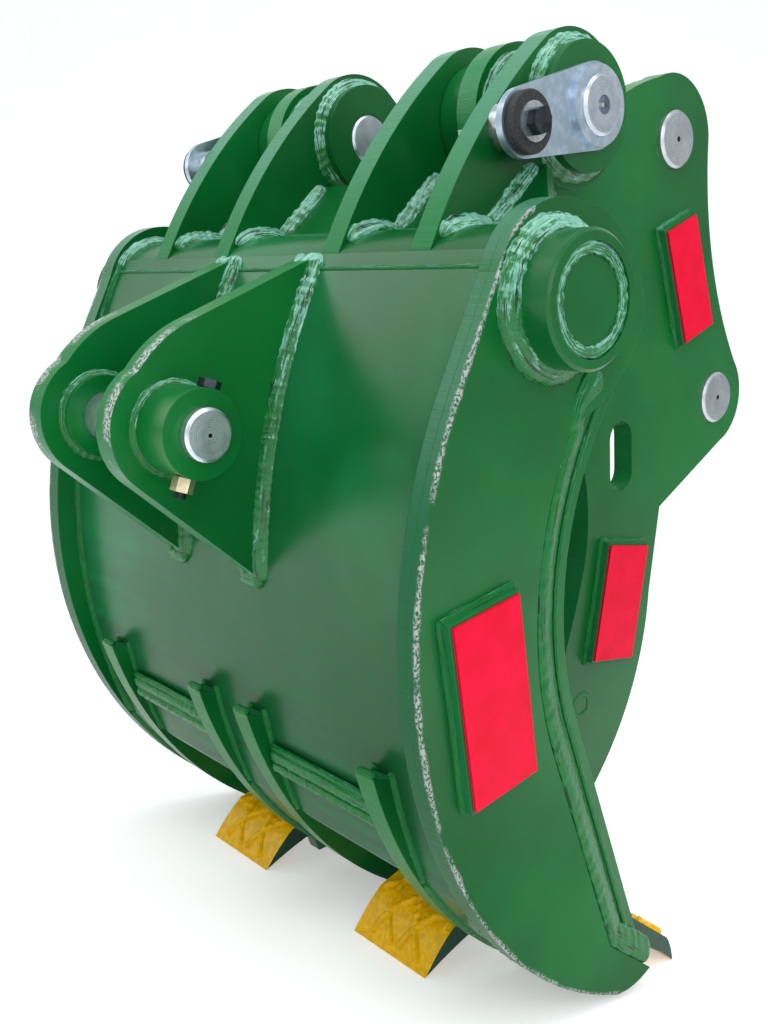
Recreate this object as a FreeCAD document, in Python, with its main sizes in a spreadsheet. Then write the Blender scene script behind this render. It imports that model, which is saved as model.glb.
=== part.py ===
"""Mechanical grapple for an excavator: two interlocking jaws joined by a greased hinge.

Millimetres. The origin is the middle of the stick pin, +X runs along the pins,
+Y points to the back of the grapple and +Z points up. The closed jaws stand on
their tooth tips. Every size is a cell of the sheet "Dimensions".
"""
import FreeCAD
import Part
import math
import os

import Sketcher

DOC = FreeCAD.newDocument("Grapple")
SHEET = DOC.addObject("Spreadsheet::Sheet", "Dimensions")

DIMENSIONS = {
    # Places of the pins and of the floor, seen along X
    "link_y": 192.0,
    "link_z": -301.0,
    "hinge_y": -280.0,
    "hinge_z": -56.0,
    "tube_y": -392.0,
    "tube_z": -274.0,
    "strut_y": -603.0,
    "strut_z": -442.0,
    "floor_z": -1026.5,
    # Plates
    "lug_thickness": 28.0,
    "rib_thickness": 28.0,
    "cheek_thickness": 12.0,
    "side_thickness": 13.0,
    "shell_thickness": 16.0,
    "palm_thickness": 13.0,
    "web_thickness": 16.0,
    "tine_plate_thickness": 20.0,
    # Widths along X
    "front_width": 722.0,
    "lug_inner_gap": 178.0,
    "lug_pair_gap": 108.0,
    "hinge_side_play": 1.5,
    "middle_tine_width": 126.0,
    "side_tine_width": 112.0,
    "tooth_play_inner": 29.0,
    "tooth_play_outer": 31.0,
    "ear_gap": 122.0,
    # Pins and bushes
    "hitch_pin_radius": 35.0,
    "hitch_pin_stand": 7.0,
    "hitch_collar_radius": 52.0,
    "hitch_collar_length": 15.0,
    "hitch_collar_round": 2.0,
    "hinge_pin_radius": 30.0,
    "bush_wall": 7.5,
    "strut_pin_radius": 26.0,
    "strut_pin_stand": 11.0,
    "fixed_fit": 0.1,
    "running_fit": 0.05,
    "pin_chamfer": 3.0,
    "pin_tail_stand": 2.0,
    "grease_hole_radius": 9.5,
    "grease_hole_depth": 12.0,
    # Bosses
    "hinge_boss_radius": 62.0,
    "lug_boss_radius": 65.0,
    "lug_boss_length": 20.0,
    "ear_boss_radius": 44.0,
    "ear_boss_length": 54.0,
    "ear_ring_length": 12.0,
    # Torque tube and its end bosses
    "tube_radius": 70.0,
    "tube_wall": 20.0,
    "tube_boss_radius": 63.0,
    "tube_boss_bore": 52.0,
    "tube_boss_length": 45.0,
    "tube_cap_recess": 4.0,
    # Front jaw outline
    "jaw_turn_y": -500.3,
    "jaw_turn_z": -383.8,
    "jaw_end_y": -88.2,
    "jaw_end_z": -1018.3,
    "jaw_radius": 535.0,
    "palm_top_y": -315.2,
    "palm_top_z": -319.6,
    "palm_turn_y": -283.2,
    "palm_turn_z": -712.6,
    "palm_radius": 398.5,
    "palm_slope_angle": 55.7,
    "palm_step": 42.0,
    "palm_top_angle": 155.0,
    "cheek_top_angle": 165.0,
    "head_shift_y": 17.0,
    "head_shift_z": 9.0,
    "head_front": 96.0,
    "head_top": 85.0,
    "head_back": 124.0,
    "neck_round": 18.0,
    "nose_y": -26.0,
    "nose_z": -1000.0,
    "nose_bulge": 6.0,
    "rib_top_angle": 208.3,
    "rib_top_drop": 12.0,
    # Front shell
    "shell_seam_angle": 152.0,
    "shell_lap": 0.5,
    "shell_middle_angle": 180.5,
    "shell_setback": 27.0,
    "shell_lip_setback": 5.0,
    "shell_end_angle": 4.0,
    "lip_angle": 225.0,
    "bar_z": -799.0,
    "bar_height": 9.0,
    "bar_length": 16.0,
    # Hinge lugs, webs and strut ears
    "lug_radius": 80.0,
    "lug_front_y": -406.0,
    "lug_front_z": -107.0,
    "lug_toe_angle": 152.0,
    "lug_crown_angle": 136.0,
    "lug_heel_angle": -102.0,
    "lug_foot_angle": 38.0,
    "web_top_angle": 236.5,
    "web_angle": 55.5,
    "web_clearance": 8.0,
    "gusset_top": 15.0,
    "gusset_side_gap": 3.0,
    "ear_radius": 68.0,
    "ear_crown_y": -600.0,
    "ear_crown_z": -336.0,
    "ear_brow_angle": 132.0,
    "ear_chin_angle": 242.0,
    "ear_bulge": 5.0,
    "ear_foot_drop": 148.0,
    # Teeth
    "tooth_thickness": 33.0,
    "tooth_length": 100.0,
    "tooth_slope_angle": 26.8,
    "tooth_bevel_angle": 29.5,
    "tooth_blunt": 2.0,
    "tooth_crown": 2.5,
    "tooth_hollow": 6.0,
    "front_bevel_length": 40.0,
    "rear_bevel_length": 60.0,
    "front_tip_y": 71.0,
    "rear_tip_y": -261.0,
    # Rear jaw outline
    "rear_top_y": 112.2,
    "rear_top_z": -578.0,
    "heel_y": -170.1,
    "heel_z": -1012.7,
    "rear_radius": 380.0,
    "heel_length": 15.0,
    "rear_setback": 18.0,
    "rear_shell_top_angle": 27.0,
    "rear_shell_end_angle": 10.0,
    "rear_lip_angle": -24.0,
    "hinge_lobe_radius": 76.0,
    "hinge_back_angle": 48.0,
    "hinge_low_angle": 333.0,
    "stick_lobe_radius": 79.0,
    "stick_front_angle": 128.0,
    "stick_back_angle": 20.0,
    "link_lobe_radius": 68.0,
    "link_top_angle": 55.0,
    "link_low_angle": -58.0,
    "saddle_y": -122.0,
    "saddle_z": 14.0,
    "saddle_bulge": 3.0,
    "hitch_waist": 45.0,
    "shoulder_y": 104.0,
    "shoulder_z": -462.0,
    "brow_y": -204.0,
    "brow_z": -130.0,
    "brow_bulge": 14.0,
    "chin_y": -72.0,
    "chin_z": -430.0,
    "throat_y": -41.0,
    "throat_z": -540.0,
    "throat_bulge": 6.0,
    "palm_bulge": 22.0,
    "tine_top_z": -690.0,
    "cross_tube_y": -118.0,
    "cross_tube_z": -318.0,
    "cross_tube_radius": 50.0,
    "cross_tube_wall": 12.0,
    # Slot in the mount plates
    "slot_y": -2.0,
    "slot_z": -403.0,
    "slot_width": 46.0,
    "slot_length": 92.0,
    "slot_lean_angle": 16.0,
    # Keeper of the hinge pin
    "keeper_y": -381.0,
    "keeper_z": -103.0,
    "keeper_radius": 33.0,
    "keeper_hub_radius": 43.0,
    "keeper_thickness": 8.0,
    "collar_radius": 40.0,
    "collar_length": 6.0,
    "pin_head_stand": 5.0,
    "keeper_post_radius": 22.0,
    "ring_radius": 30.0,
    "ring_length": 10.0,
    "sleeve_radius": 19.0,
    "sleeve_stand": 3.0,
    "bolt_radius": 8.0,
    "bolt_head_radius": 13.6,
    "bolt_head_height": 10.0,
    "strut_bolt_radius": 6.0,
    "strut_bolt_head_radius": 11.0,
    "strut_bolt_head_height": 8.0,
    "strut_nut_height": 14.0,
    "strut_bolt_place": 41.0,
    "strut_bolt_lean_angle": 8.4,
    "nipple_radius": 4.5,
    "nipple_tip_radius": 2.5,
    "nipple_base": 5.0,
    "nipple_recess": 2.0,
    "rubber_round": 1.5,
    # Raised panels
    "panel_thickness": 12.0,
    "panel_face_thickness": 3.0,
    "panel_border": 3.0,
    "front_panel_y": -400.0,
    "front_panel_z": -647.0,
    "front_panel_length": 188.0,
    "front_panel_width": 87.0,
    "front_panel_angle": -68.5,
    "rear_panel_y": 32.0,
    "rear_panel_z": -592.0,
    "rear_panel_length": 152.0,
    "rear_panel_width": 82.0,
    "rear_panel_angle": -88.0,
    "hitch_panel_y": 67.0,
    "hitch_panel_z": -162.0,
    "hitch_panel_length": 150.0,
    "hitch_panel_width": 66.0,
    "hitch_panel_angle": -57.3,
}

for row, (alias, size) in enumerate(DIMENSIONS.items(), start=1):
    SHEET.set("A%d" % row, alias)
    SHEET.set("B%d" % row, repr(size))
    SHEET.setAlias("B%d" % row, alias)
DOC.recompute()


class Sizes:
    """The sheet's cells as plain numbers."""

    def __getattr__(self, alias):
        return float(SHEET.get(alias))


D = Sizes()
NODES = []


# Plane geometry in the side view: points are (y, z)

def add(p, q):
    return (p[0] + q[0], p[1] + q[1])


def toward(angle, length):
    """A vector of that length at that angle, in degrees from +Y towards +Z."""
    turn = math.radians(angle)
    return (length * math.cos(turn), length * math.sin(turn))


def on_circle(centre, radius, angle):
    return add(centre, toward(angle, radius))


def meet(p, along_p, q, along_q):
    """Where the line through p meets the line through q; each has its direction's angle."""
    a = toward(along_p, 1.0)
    b = toward(along_q, 1.0)
    gap = (q[0] - p[0], q[1] - p[1])
    cross = a[0] * b[1] - a[1] * b[0]
    step = (gap[0] * b[1] - gap[1] * b[0]) / cross
    return (p[0] + step * a[0], p[1] + step * a[1])


def line_on_circle(p, angle, centre, radius, way=-1):
    """Where the line that leaves p at that angle enters the circle, or leaves it if way is 1."""
    a = toward(angle, 1.0)
    gap = (p[0] - centre[0], p[1] - centre[1])
    half = gap[0] * a[0] + gap[1] * a[1]
    rest = gap[0] ** 2 + gap[1] ** 2 - radius ** 2
    step = -half + way * math.sqrt(half ** 2 - rest)
    return (p[0] + step * a[0], p[1] + step * a[1])


def angle_of(p, centre):
    return math.degrees(math.atan2(p[1] - centre[1], p[0] - centre[0]))


def middle(p, q, bulge=0.0):
    """The middle of p and q, moved by bulge to the left of the way from p to q."""
    length = math.hypot(q[0] - p[0], q[1] - p[1])
    side = ((p[1] - q[1]) / length, (q[0] - p[0]) / length)
    return ((p[0] + q[0]) / 2 + bulge * side[0], (p[1] + q[1]) / 2 + bulge * side[1])


def circle_through(p, q, r):
    """Centre and radius of the circle through three points."""
    arc = Part.Arc(FreeCAD.Vector(*p, 0), FreeCAD.Vector(*q, 0), FreeCAD.Vector(*r, 0))
    curve = arc.toShape().Curve
    return (curve.Center.x, curve.Center.y), curve.Radius


def centre_between(p, q, radius):
    """The centre, to the left of the way from p to q, of the circle through both."""
    return middle(p, q, math.sqrt(radius ** 2 - (math.dist(p, q) / 2) ** 2))


def circle_round(p, q, centre, radius):
    """Centre and radius of the circle through p and q that holds another and touches it.

    Its centre is the middle of p and q moved by t to the left. Its distance from the held
    circle's centre is the difference of both radii, which gives a square equation for t.
    """
    half = math.dist(p, q) / 2
    mid = middle(p, q)
    side = (middle(p, q, 1.0)[0] - mid[0], middle(p, q, 1.0)[1] - mid[1])
    gap = (mid[0] - centre[0], mid[1] - centre[1])
    lean = side[0] * gap[0] + side[1] * gap[1]
    rest = half ** 2 + radius ** 2 - gap[0] ** 2 - gap[1] ** 2
    a = 4 * (lean ** 2 - radius ** 2)
    b = -4 * rest * lean
    c = rest ** 2 - 4 * radius ** 2 * half ** 2
    root = math.sqrt(b ** 2 - 4 * a * c)
    shift = max((-b + root) / (2 * a), (-b - root) / (2 * a))
    return middle(p, q, shift), math.hypot(half, shift)


HINGE = (D.hinge_y, D.hinge_z)
STICK = (0.0, 0.0)
LINK = (D.link_y, D.link_z)
TUBE = (D.tube_y, D.tube_z)
STRUT = (D.strut_y, D.strut_z)
KEEPER = (D.keeper_y, D.keeper_z)

# Each crescent's curve is held at both its ends, so a flatter radius keeps its neighbours
JAW_TURN = (D.jaw_turn_y, D.jaw_turn_z)
JAW_END = (D.jaw_end_y, D.jaw_end_z)
JAW = centre_between(JAW_TURN, JAW_END, D.jaw_radius)
PALM_TURN = (D.palm_turn_y, D.palm_turn_z)
PALM = centre_between((D.palm_top_y, D.palm_top_z), PALM_TURN, D.palm_radius)
REAR_TOP = (D.rear_top_y, D.rear_top_z)
HEEL = (D.heel_y, D.heel_z)
REAR = centre_between(HEEL, REAR_TOP, D.rear_radius)
JAW_TURN_ANGLE = angle_of(JAW_TURN, JAW) % 360
JAW_END_ANGLE = angle_of(JAW_END, JAW) % 360
PALM_TURN_ANGLE = angle_of(PALM_TURN, PALM) % 360
REAR_TOP_ANGLE = angle_of(REAR_TOP, REAR)
REAR_END_ANGLE = angle_of(HEEL, REAR)

# Places along X, all measured from the middle plane
LUG_INNER = D.lug_inner_gap / 2
LUG_OUTER = LUG_INNER + D.lug_thickness + D.lug_pair_gap
LUG_FACE = LUG_OUTER + D.lug_thickness
MOUNT_INNER = LUG_INNER + D.lug_thickness + (D.lug_pair_gap - D.lug_thickness) / 2
MOUNT_OUTER = MOUNT_INNER + D.lug_thickness
SIDE_FACE = D.front_width / 2
CHEEK_INNER = SIDE_FACE - D.cheek_thickness
SIDE_INNER = CHEEK_INNER - D.side_thickness
SIDE_RIB = SIDE_FACE - D.side_tine_width
MIDDLE_RIB = D.middle_tine_width / 2 - D.rib_thickness
REAR_TINE = D.middle_tine_width / 2 + D.tooth_play_inner
EAR_INNER = D.ear_gap / 2
EAR_FACE = EAR_INNER + D.lug_thickness

# Lengths of pads that lie between other plates, as the sheet's expressions
BETWEEN_SIDES = ("Dimensions.front_width"
                 " - 2 * (Dimensions.cheek_thickness + Dimensions.side_thickness)")
BETWEEN_MOUNTS = "Dimensions.lug_inner_gap + Dimensions.lug_thickness + Dimensions.lug_pair_gap"
BAY_WIDTH = ("Dimensions.front_width / 2 - Dimensions.side_tine_width"
             " - Dimensions.middle_tine_width / 2")
SIDE_STRIP_WIDTH = "Dimensions.side_tine_width - Dimensions.cheek_thickness"
SIDE_TOOTH_WIDTH = SIDE_STRIP_WIDTH + " - Dimensions.side_thickness"
OUTER_WEB_WIDTH = ("(" + BETWEEN_SIDES + " - Dimensions.lug_inner_gap) / 2"
                   " - 2 * Dimensions.lug_thickness - Dimensions.lug_pair_gap")
REAR_BAY_WIDTH = "Dimensions.middle_tine_width + 2 * Dimensions.tooth_play_inner"
REAR_TOOTH_WIDTH = BAY_WIDTH + " - Dimensions.tooth_play_inner - Dimensions.tooth_play_outer"
REAR_STRIP_WIDTH = ("(" + BETWEEN_MOUNTS + ") / 2 - (" + REAR_BAY_WIDTH + ") / 2"
                    " - Dimensions.tine_plate_thickness")


# Makers of the document's objects

def geometry(start, steps):
    """A closed outline: a step is (point,) for a line or (middle, point) for an arc."""
    items = []
    here = start
    for step in steps + [(start,)]:
        there = step[-1]
        p = FreeCAD.Vector(here[0], here[1], 0)
        q = FreeCAD.Vector(there[0], there[1], 0)
        if len(step) == 2:
            bend = FreeCAD.Vector(step[0][0], step[0][1], 0)
            items.append(Part.Arc(p, bend, q))
        elif (p - q).Length > 1e-6:
            items.append(Part.LineSegment(p, q))
        here = there
    return items


def origin_plane(body, role):
    return next(f for f in body.Origin.OriginFeatures if f.Role == role)


def new_sketch(body, name, role, items):
    sketch = body.newObject("Sketcher::SketchObject", name)
    sketch.AttachmentSupport = (origin_plane(body, role), [""])
    sketch.MapMode = "FlatFace"
    sketch.addGeometry(items, False)
    return sketch


def add_holes(sketch, holes):
    """Round holes: each is (centre, radius expression)."""
    for centre, radius in holes:
        spot = FreeCAD.Vector(centre[0], centre[1], 0)
        value = float(SHEET.evalExpression(radius))
        circle = Part.Circle(spot, FreeCAD.Vector(0, 0, 1), value)
        index = sketch.addGeometry(circle, False)
        limit = sketch.addConstraint(Sketcher.Constraint("Radius", index, value))
        sketch.setExpression("Constraints[%d]" % limit, radius)


def plate(label, start, steps, low, thickness, holes=(), keep=True):
    """A flat plate whose outline is drawn in the side view, from X = low to low + thickness."""
    body = DOC.addObject("PartDesign::Body", label + "_body")
    sketch = new_sketch(body, label + "_outline", "YZ_Plane", geometry(start, steps))
    add_holes(sketch, holes)
    pad = body.newObject("PartDesign::Pad", label + "_pad")
    pad.Profile = sketch
    pad.setExpression("Length", thickness)
    sketch.Visibility = False
    body.Placement = FreeCAD.Placement(FreeCAD.Vector(low, 0, 0), FreeCAD.Rotation())
    body.Label = label
    if keep:
        NODES.append(body)
    return body


def turned(label, profile, centre, keep=True):
    """A turned piece about X at centre (y, z); its profile is a list of (x, radius)."""
    body = DOC.addObject("PartDesign::Body", label + "_body")
    points = [FreeCAD.Vector(x, radius, 0) for x, radius in profile]
    points.append(points[0])
    items = [Part.LineSegment(p, q) for p, q in zip(points, points[1:])]
    sketch = new_sketch(body, label + "_profile", "XY_Plane", items)
    spin = body.newObject("PartDesign::Revolution", label + "_spin")
    spin.Profile = sketch
    spin.ReferenceAxis = (sketch, ["H_Axis"])
    spin.Angle = 360
    sketch.Visibility = False
    place = FreeCAD.Vector(0, centre[0], centre[1])
    body.Placement = FreeCAD.Placement(place, FreeCAD.Rotation())
    body.Label = label
    if keep:
        NODES.append(body)
    return body


def group(label, pieces):
    """One node that holds several separate solids."""
    compound = DOC.addObject("Part::Compound", label + "_group")
    compound.Links = pieces
    compound.Label = label
    NODES.append(compound)
    return compound


def cut(label, base, tool, keep=True):
    result = DOC.addObject("Part::Cut", label + "_cut")
    result.Base = base
    result.Tool = tool
    result.Label = label
    if keep:
        NODES.append(result)
    return result


def fuse(label, pieces, keep=True):
    result = DOC.addObject("Part::MultiFuse", label + "_fuse")
    result.Shapes = pieces
    result.Label = label
    if keep:
        NODES.append(result)
    return result


def ring(low, high, outer, inner, chamfer=0.0):
    """The profile of a ring from X = low to high."""
    if not chamfer:
        return [(low, inner), (high, inner), (high, outer), (low, outer)]
    return [(low, inner), (high, inner), (high, outer - chamfer), (high - chamfer, outer),
            (low + chamfer, outer), (low, outer - chamfer)]


def mirrored(profile):
    return [(-x, radius) for x, radius in profile]


def both_sides(low, thickness):
    """The low X of a plate and of its mirror image, with the name of each side."""
    return (("right", low), ("left", -low - thickness))


# The teeth: a thick plate with a bevelled end, the same on both jaws

def tooth_frame(forward):
    """forward is 1 where the tip points to the back, -1 where it points to the front."""
    if forward > 0:
        tip = (D.front_tip_y, D.floor_z)
        bevel = D.front_bevel_length
    else:
        tip = (D.rear_tip_y, D.floor_z)
        bevel = D.rear_bevel_length

    def turn(angle):
        return angle if forward > 0 else 180 - angle

    edge = add(tip, (-D.tooth_blunt * forward, D.tooth_blunt))
    corner = add(edge, toward(turn(180 - D.tooth_slope_angle - D.tooth_bevel_angle), bevel))
    top_back = add(corner, toward(turn(180 - D.tooth_slope_angle), D.tooth_length))
    down = toward(turn(-90 - D.tooth_slope_angle), D.tooth_thickness)
    bottom_back = add(top_back, down)
    return {"tip": tip, "edge": edge, "corner": corner, "top": top_back, "bottom": bottom_back,
            "along": turn(-D.tooth_slope_angle), "across": turn(90 - D.tooth_slope_angle)}


FRONT_TOOTH = tooth_frame(1)
REAR_TOOTH = tooth_frame(-1)


def tooth(label, frame, low, width):
    """Bevelled upper face, rounded nose and a slightly hollow underside."""
    crown = middle(frame["corner"], frame["edge"])
    crown = add(crown, toward(frame["across"], D.tooth_crown))
    hollow = middle(frame["tip"], frame["bottom"])
    hollow = add(hollow, toward(frame["across"], D.tooth_hollow))
    steps = [
        (frame["corner"],),
        (crown, frame["edge"]),
        (frame["tip"],),
        (hollow, frame["bottom"]),
    ]
    return plate(label, frame["top"], steps, low, width)


# Front jaw

def palm_line(step):
    """Where the back edge of the tine turns straight, and the angle that it runs at."""
    return on_circle(PALM, D.palm_radius - step, PALM_TURN_ANGLE), -D.palm_slope_angle


def tine_end(step):
    """The end of a front tine plate: it carries the tooth on its back edge."""
    start, angle = palm_line(step)
    seat = meet(start, angle, FRONT_TOOTH["bottom"], FRONT_TOOTH["across"])
    nose = (D.nose_y, D.nose_z)
    under = meet(nose, 90, FRONT_TOOTH["bottom"], FRONT_TOOTH["along"])
    return [(seat,), (FRONT_TOOTH["bottom"],), (under,), (nose,)]


def cheek_end():
    start, angle = palm_line(0)
    nose = (D.nose_y, D.nose_z)
    heel = meet(start, angle, nose, FRONT_TOOTH["along"])
    return [(heel,), (nose,)]


def nose_round():
    nose = (D.nose_y, D.nose_z)
    return (middle(JAW_END, nose, -D.nose_bulge), JAW_END)


def side_outline(step, first_angle, end):
    """Outline of a side plate: crescent with a rounded head over the torque tube."""
    head = add(TUBE, (D.head_shift_y, D.head_shift_z))
    front = add(head, (-D.head_front, 0))
    top = add(head, (0, D.head_top))
    back = add(head, (D.head_back, 0))
    eighth = math.sqrt(0.5)
    front_mid = add(head, (-D.head_front * eighth, D.head_top * eighth))
    back_mid = add(head, (D.head_back * eighth, D.head_top * eighth))
    radius = D.palm_radius - step
    palm_top = on_circle(PALM, radius, first_angle)
    palm_mid = on_circle(PALM, radius, (first_angle + PALM_TURN_ANGLE) / 2)
    palm_low = palm_line(step)[0]
    steps = [
        (front,),
        (front_mid, top),
        (back_mid, back),
        (middle(back, palm_top, D.neck_round), palm_top),
        (palm_mid, palm_low),
    ]
    steps += end
    steps.append(nose_round())
    half_way = (JAW_TURN_ANGLE + JAW_END_ANGLE) / 2
    steps.append((on_circle(JAW, D.jaw_radius, half_way), JAW_TURN))
    return JAW_TURN, steps


def make_sides():
    start, steps = side_outline(D.palm_step, D.palm_top_angle, tine_end(D.palm_step))
    for side, low in both_sides(SIDE_INNER, D.side_thickness):
        plate("side_plate_" + side, start, steps, low, "Dimensions.side_thickness")
    start, steps = side_outline(0, D.cheek_top_angle, cheek_end())
    for side, low in both_sides(CHEEK_INNER, D.cheek_thickness):
        plate("cheek_plate_" + side, start, steps, low, "Dimensions.cheek_thickness")


def make_ribs():
    """Four tine plates that stand proud of the shell beside the two bays."""
    top = on_circle(JAW, D.jaw_radius, D.rib_top_angle)
    start, angle = palm_line(D.palm_step)
    inner = meet(start, angle, add(top, (0, -D.rib_top_drop)), 0)
    steps = [(inner,)] + tine_end(D.palm_step) + [nose_round()]
    half_way = (D.rib_top_angle + JAW_END_ANGLE) / 2
    steps.append((on_circle(JAW, D.jaw_radius, half_way), top))
    ribs = []
    for name, low in (("side", SIDE_RIB), ("middle", MIDDLE_RIB)):
        for side, x in both_sides(low, D.rib_thickness):
            label = "rib_%s_%s" % (name, side)
            ribs.append(plate(label, top, steps, x, "Dimensions.rib_thickness"))
    return ribs


# The front shell is rolled to a flatter curve than the side plates and bent at its lip
SHELL_MIDDLE = on_circle(JAW, D.jaw_radius - D.shell_setback, D.shell_middle_angle)
SHELL_BEND = on_circle(JAW, D.jaw_radius - D.shell_lip_setback, D.lip_angle)
SHELL, SHELL_RADIUS = circle_round(SHELL_MIDDLE, SHELL_BEND, TUBE, D.tube_radius + D.shell_lap)
SEAM = line_on_circle(TUBE, D.shell_seam_angle, SHELL, SHELL_RADIUS, 1)


def shell_point(z, wall=0.0):
    """The point of the shell's rolled part at that height, outside or inside its wall."""
    radius = SHELL_RADIUS - wall
    return (SHELL[0] - math.sqrt(radius ** 2 - (z - SHELL[1]) ** 2), z)


def shell_foot():
    """Where the shell's inner face meets the torque tube."""
    radius = SHELL_RADIUS - D.shell_thickness
    gap = math.dist(SHELL, TUBE)
    turn = (gap ** 2 + D.tube_radius ** 2 - radius ** 2) / (2 * gap * D.tube_radius)
    angle = angle_of(SHELL, TUBE) - math.degrees(math.acos(turn))
    return on_circle(TUBE, D.tube_radius, angle)


def shell_outline():
    lower = D.jaw_radius - D.shell_lip_setback
    inner = lower - D.shell_thickness
    last = JAW_END_ANGLE - D.shell_end_angle
    half = (D.lip_angle + last) / 2
    foot = shell_foot()
    bend = on_circle(JAW, inner, D.lip_angle)
    bend = shell_point(bend[1], D.shell_thickness)
    wrap = on_circle(TUBE, D.tube_radius, (angle_of(foot, TUBE) % 360 + D.shell_seam_angle) / 2)
    return SEAM, [
        (SHELL_MIDDLE, SHELL_BEND),
        (on_circle(JAW, lower, half), on_circle(JAW, lower, last)),
        (on_circle(JAW, inner, last),),
        (on_circle(JAW, inner, half), bend),
        (shell_point(SHELL_MIDDLE[1], D.shell_thickness), foot),
        (wrap, on_circle(TUBE, D.tube_radius, D.shell_seam_angle)),
    ]


def block(name, low, length, y_range, z_range):
    box = DOC.addObject("Part::Box", name)
    box.setExpression("Length", length)
    box.Width = y_range[1] - y_range[0]
    box.Height = z_range[1] - z_range[0]
    corner = FreeCAD.Vector(low, y_range[0], z_range[0])
    box.Placement = FreeCAD.Placement(corner, FreeCAD.Rotation())
    return box


def make_front_shell(ribs):
    start, steps = shell_outline()
    blank = plate("shell_blank", start, steps, -SIDE_INNER, BETWEEN_SIDES, keep=False)
    lip = on_circle(JAW, D.jaw_radius, D.lip_angle)
    bays = []
    inner = MIDDLE_RIB + D.rib_thickness
    reach = (JAW[0] - D.jaw_radius, JAW[0])
    rise = (JAW[1] - D.jaw_radius, lip[1])
    for side, low in both_sides(inner, SIDE_RIB - inner):
        bays.append(block("bay_" + side, low, BAY_WIDTH, reach, rise))
    tools = fuse("shell_tools", bays + ribs, keep=False)
    cut("front_shell", blank, tools)


def make_palm_strips():
    def strip(label, top_angle, top_z, low, width):
        near = D.palm_step
        far = D.palm_step + D.palm_thickness
        near_low, angle = palm_line(near)
        far_low = palm_line(far)[0]
        near_end = meet(near_low, angle, FRONT_TOOTH["bottom"], FRONT_TOOTH["across"])
        far_end = meet(far_low, angle, FRONT_TOOTH["bottom"], FRONT_TOOTH["across"])
        if top_angle:
            half = (top_angle + PALM_TURN_ANGLE) / 2
            start = on_circle(PALM, D.palm_radius - near, top_angle)
            steps = [
                (on_circle(PALM, D.palm_radius - near, half), near_low),
                (near_end,),
                (far_end,),
                (far_low,),
                (on_circle(PALM, D.palm_radius - far, half),
                 on_circle(PALM, D.palm_radius - far, top_angle)),
            ]
        else:
            start = meet(near_low, angle, (0, top_z), 0)
            square = angle + 90
            steps = [(near_end,), (far_end,), (meet(start, square, far_low, angle),)]
        plate(label, start, steps, low, width)

    top_z = on_circle(JAW, D.jaw_radius, D.rib_top_angle)[1] - D.rib_top_drop
    strip("palm_strip_right", D.palm_top_angle, None, SIDE_RIB, SIDE_STRIP_WIDTH)
    strip("palm_strip_left", D.palm_top_angle, None, -CHEEK_INNER, SIDE_STRIP_WIDTH)
    strip("palm_strip_middle", None, top_z, -D.middle_tine_width / 2,
          "Dimensions.middle_tine_width")


def make_bay_bars():
    """A flat bar across each bay, standing on the shell just above its lip."""
    centre = shell_point(D.bar_z)
    across = angle_of(centre, SHELL)
    sunk = add(centre, toward(across, -D.shell_thickness / 2))
    half = toward(across + 90, D.bar_length / 2)
    top = toward(across, D.bar_height)
    high = add(centre, (-half[0], -half[1]))
    low = add(centre, half)
    steps = [(add(high, top),), (add(low, top),), (low,)]
    inner = MIDDLE_RIB + D.rib_thickness
    bars = []
    for side, x in both_sides(inner, SIDE_RIB - inner):
        bars.append(plate("bay_bar_" + side, high, steps, x, BAY_WIDTH, keep=False))
    group("bay_bars", bars)


def make_front_teeth():
    tooth("front_tooth_right", FRONT_TOOTH, SIDE_RIB, SIDE_TOOTH_WIDTH)
    tooth("front_tooth_left", FRONT_TOOTH, -SIDE_INNER, SIDE_TOOTH_WIDTH)
    tooth("front_tooth_middle", FRONT_TOOTH, -D.middle_tine_width / 2,
          "Dimensions.middle_tine_width")


def make_tube():
    inner = D.tube_radius - D.tube_wall
    turned("torque_tube", ring(-SIDE_INNER, SIDE_INNER, D.tube_radius, inner), TUBE)
    bosses = []
    caps = []
    low = SIDE_FACE
    high = SIDE_FACE + D.tube_boss_length
    for side in ("right", "left"):
        boss = ring(low, high, D.tube_boss_radius, D.tube_boss_bore, D.pin_chamfer)
        boss[0] = (low, D.tube_boss_bore)
        cap = [(low, 0), (high - D.tube_cap_recess, 0),
               (high - D.tube_cap_recess, D.tube_boss_bore), (low, D.tube_boss_bore)]
        if side == "left":
            boss = mirrored(boss)
            cap = mirrored(cap)
        bosses.append(turned("tube_boss_" + side, boss, TUBE, keep=False))
        caps.append(turned("tube_cap_" + side, cap, TUBE, keep=False))
    group("tube_bosses", bosses)
    group("tube_caps", caps)


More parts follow.
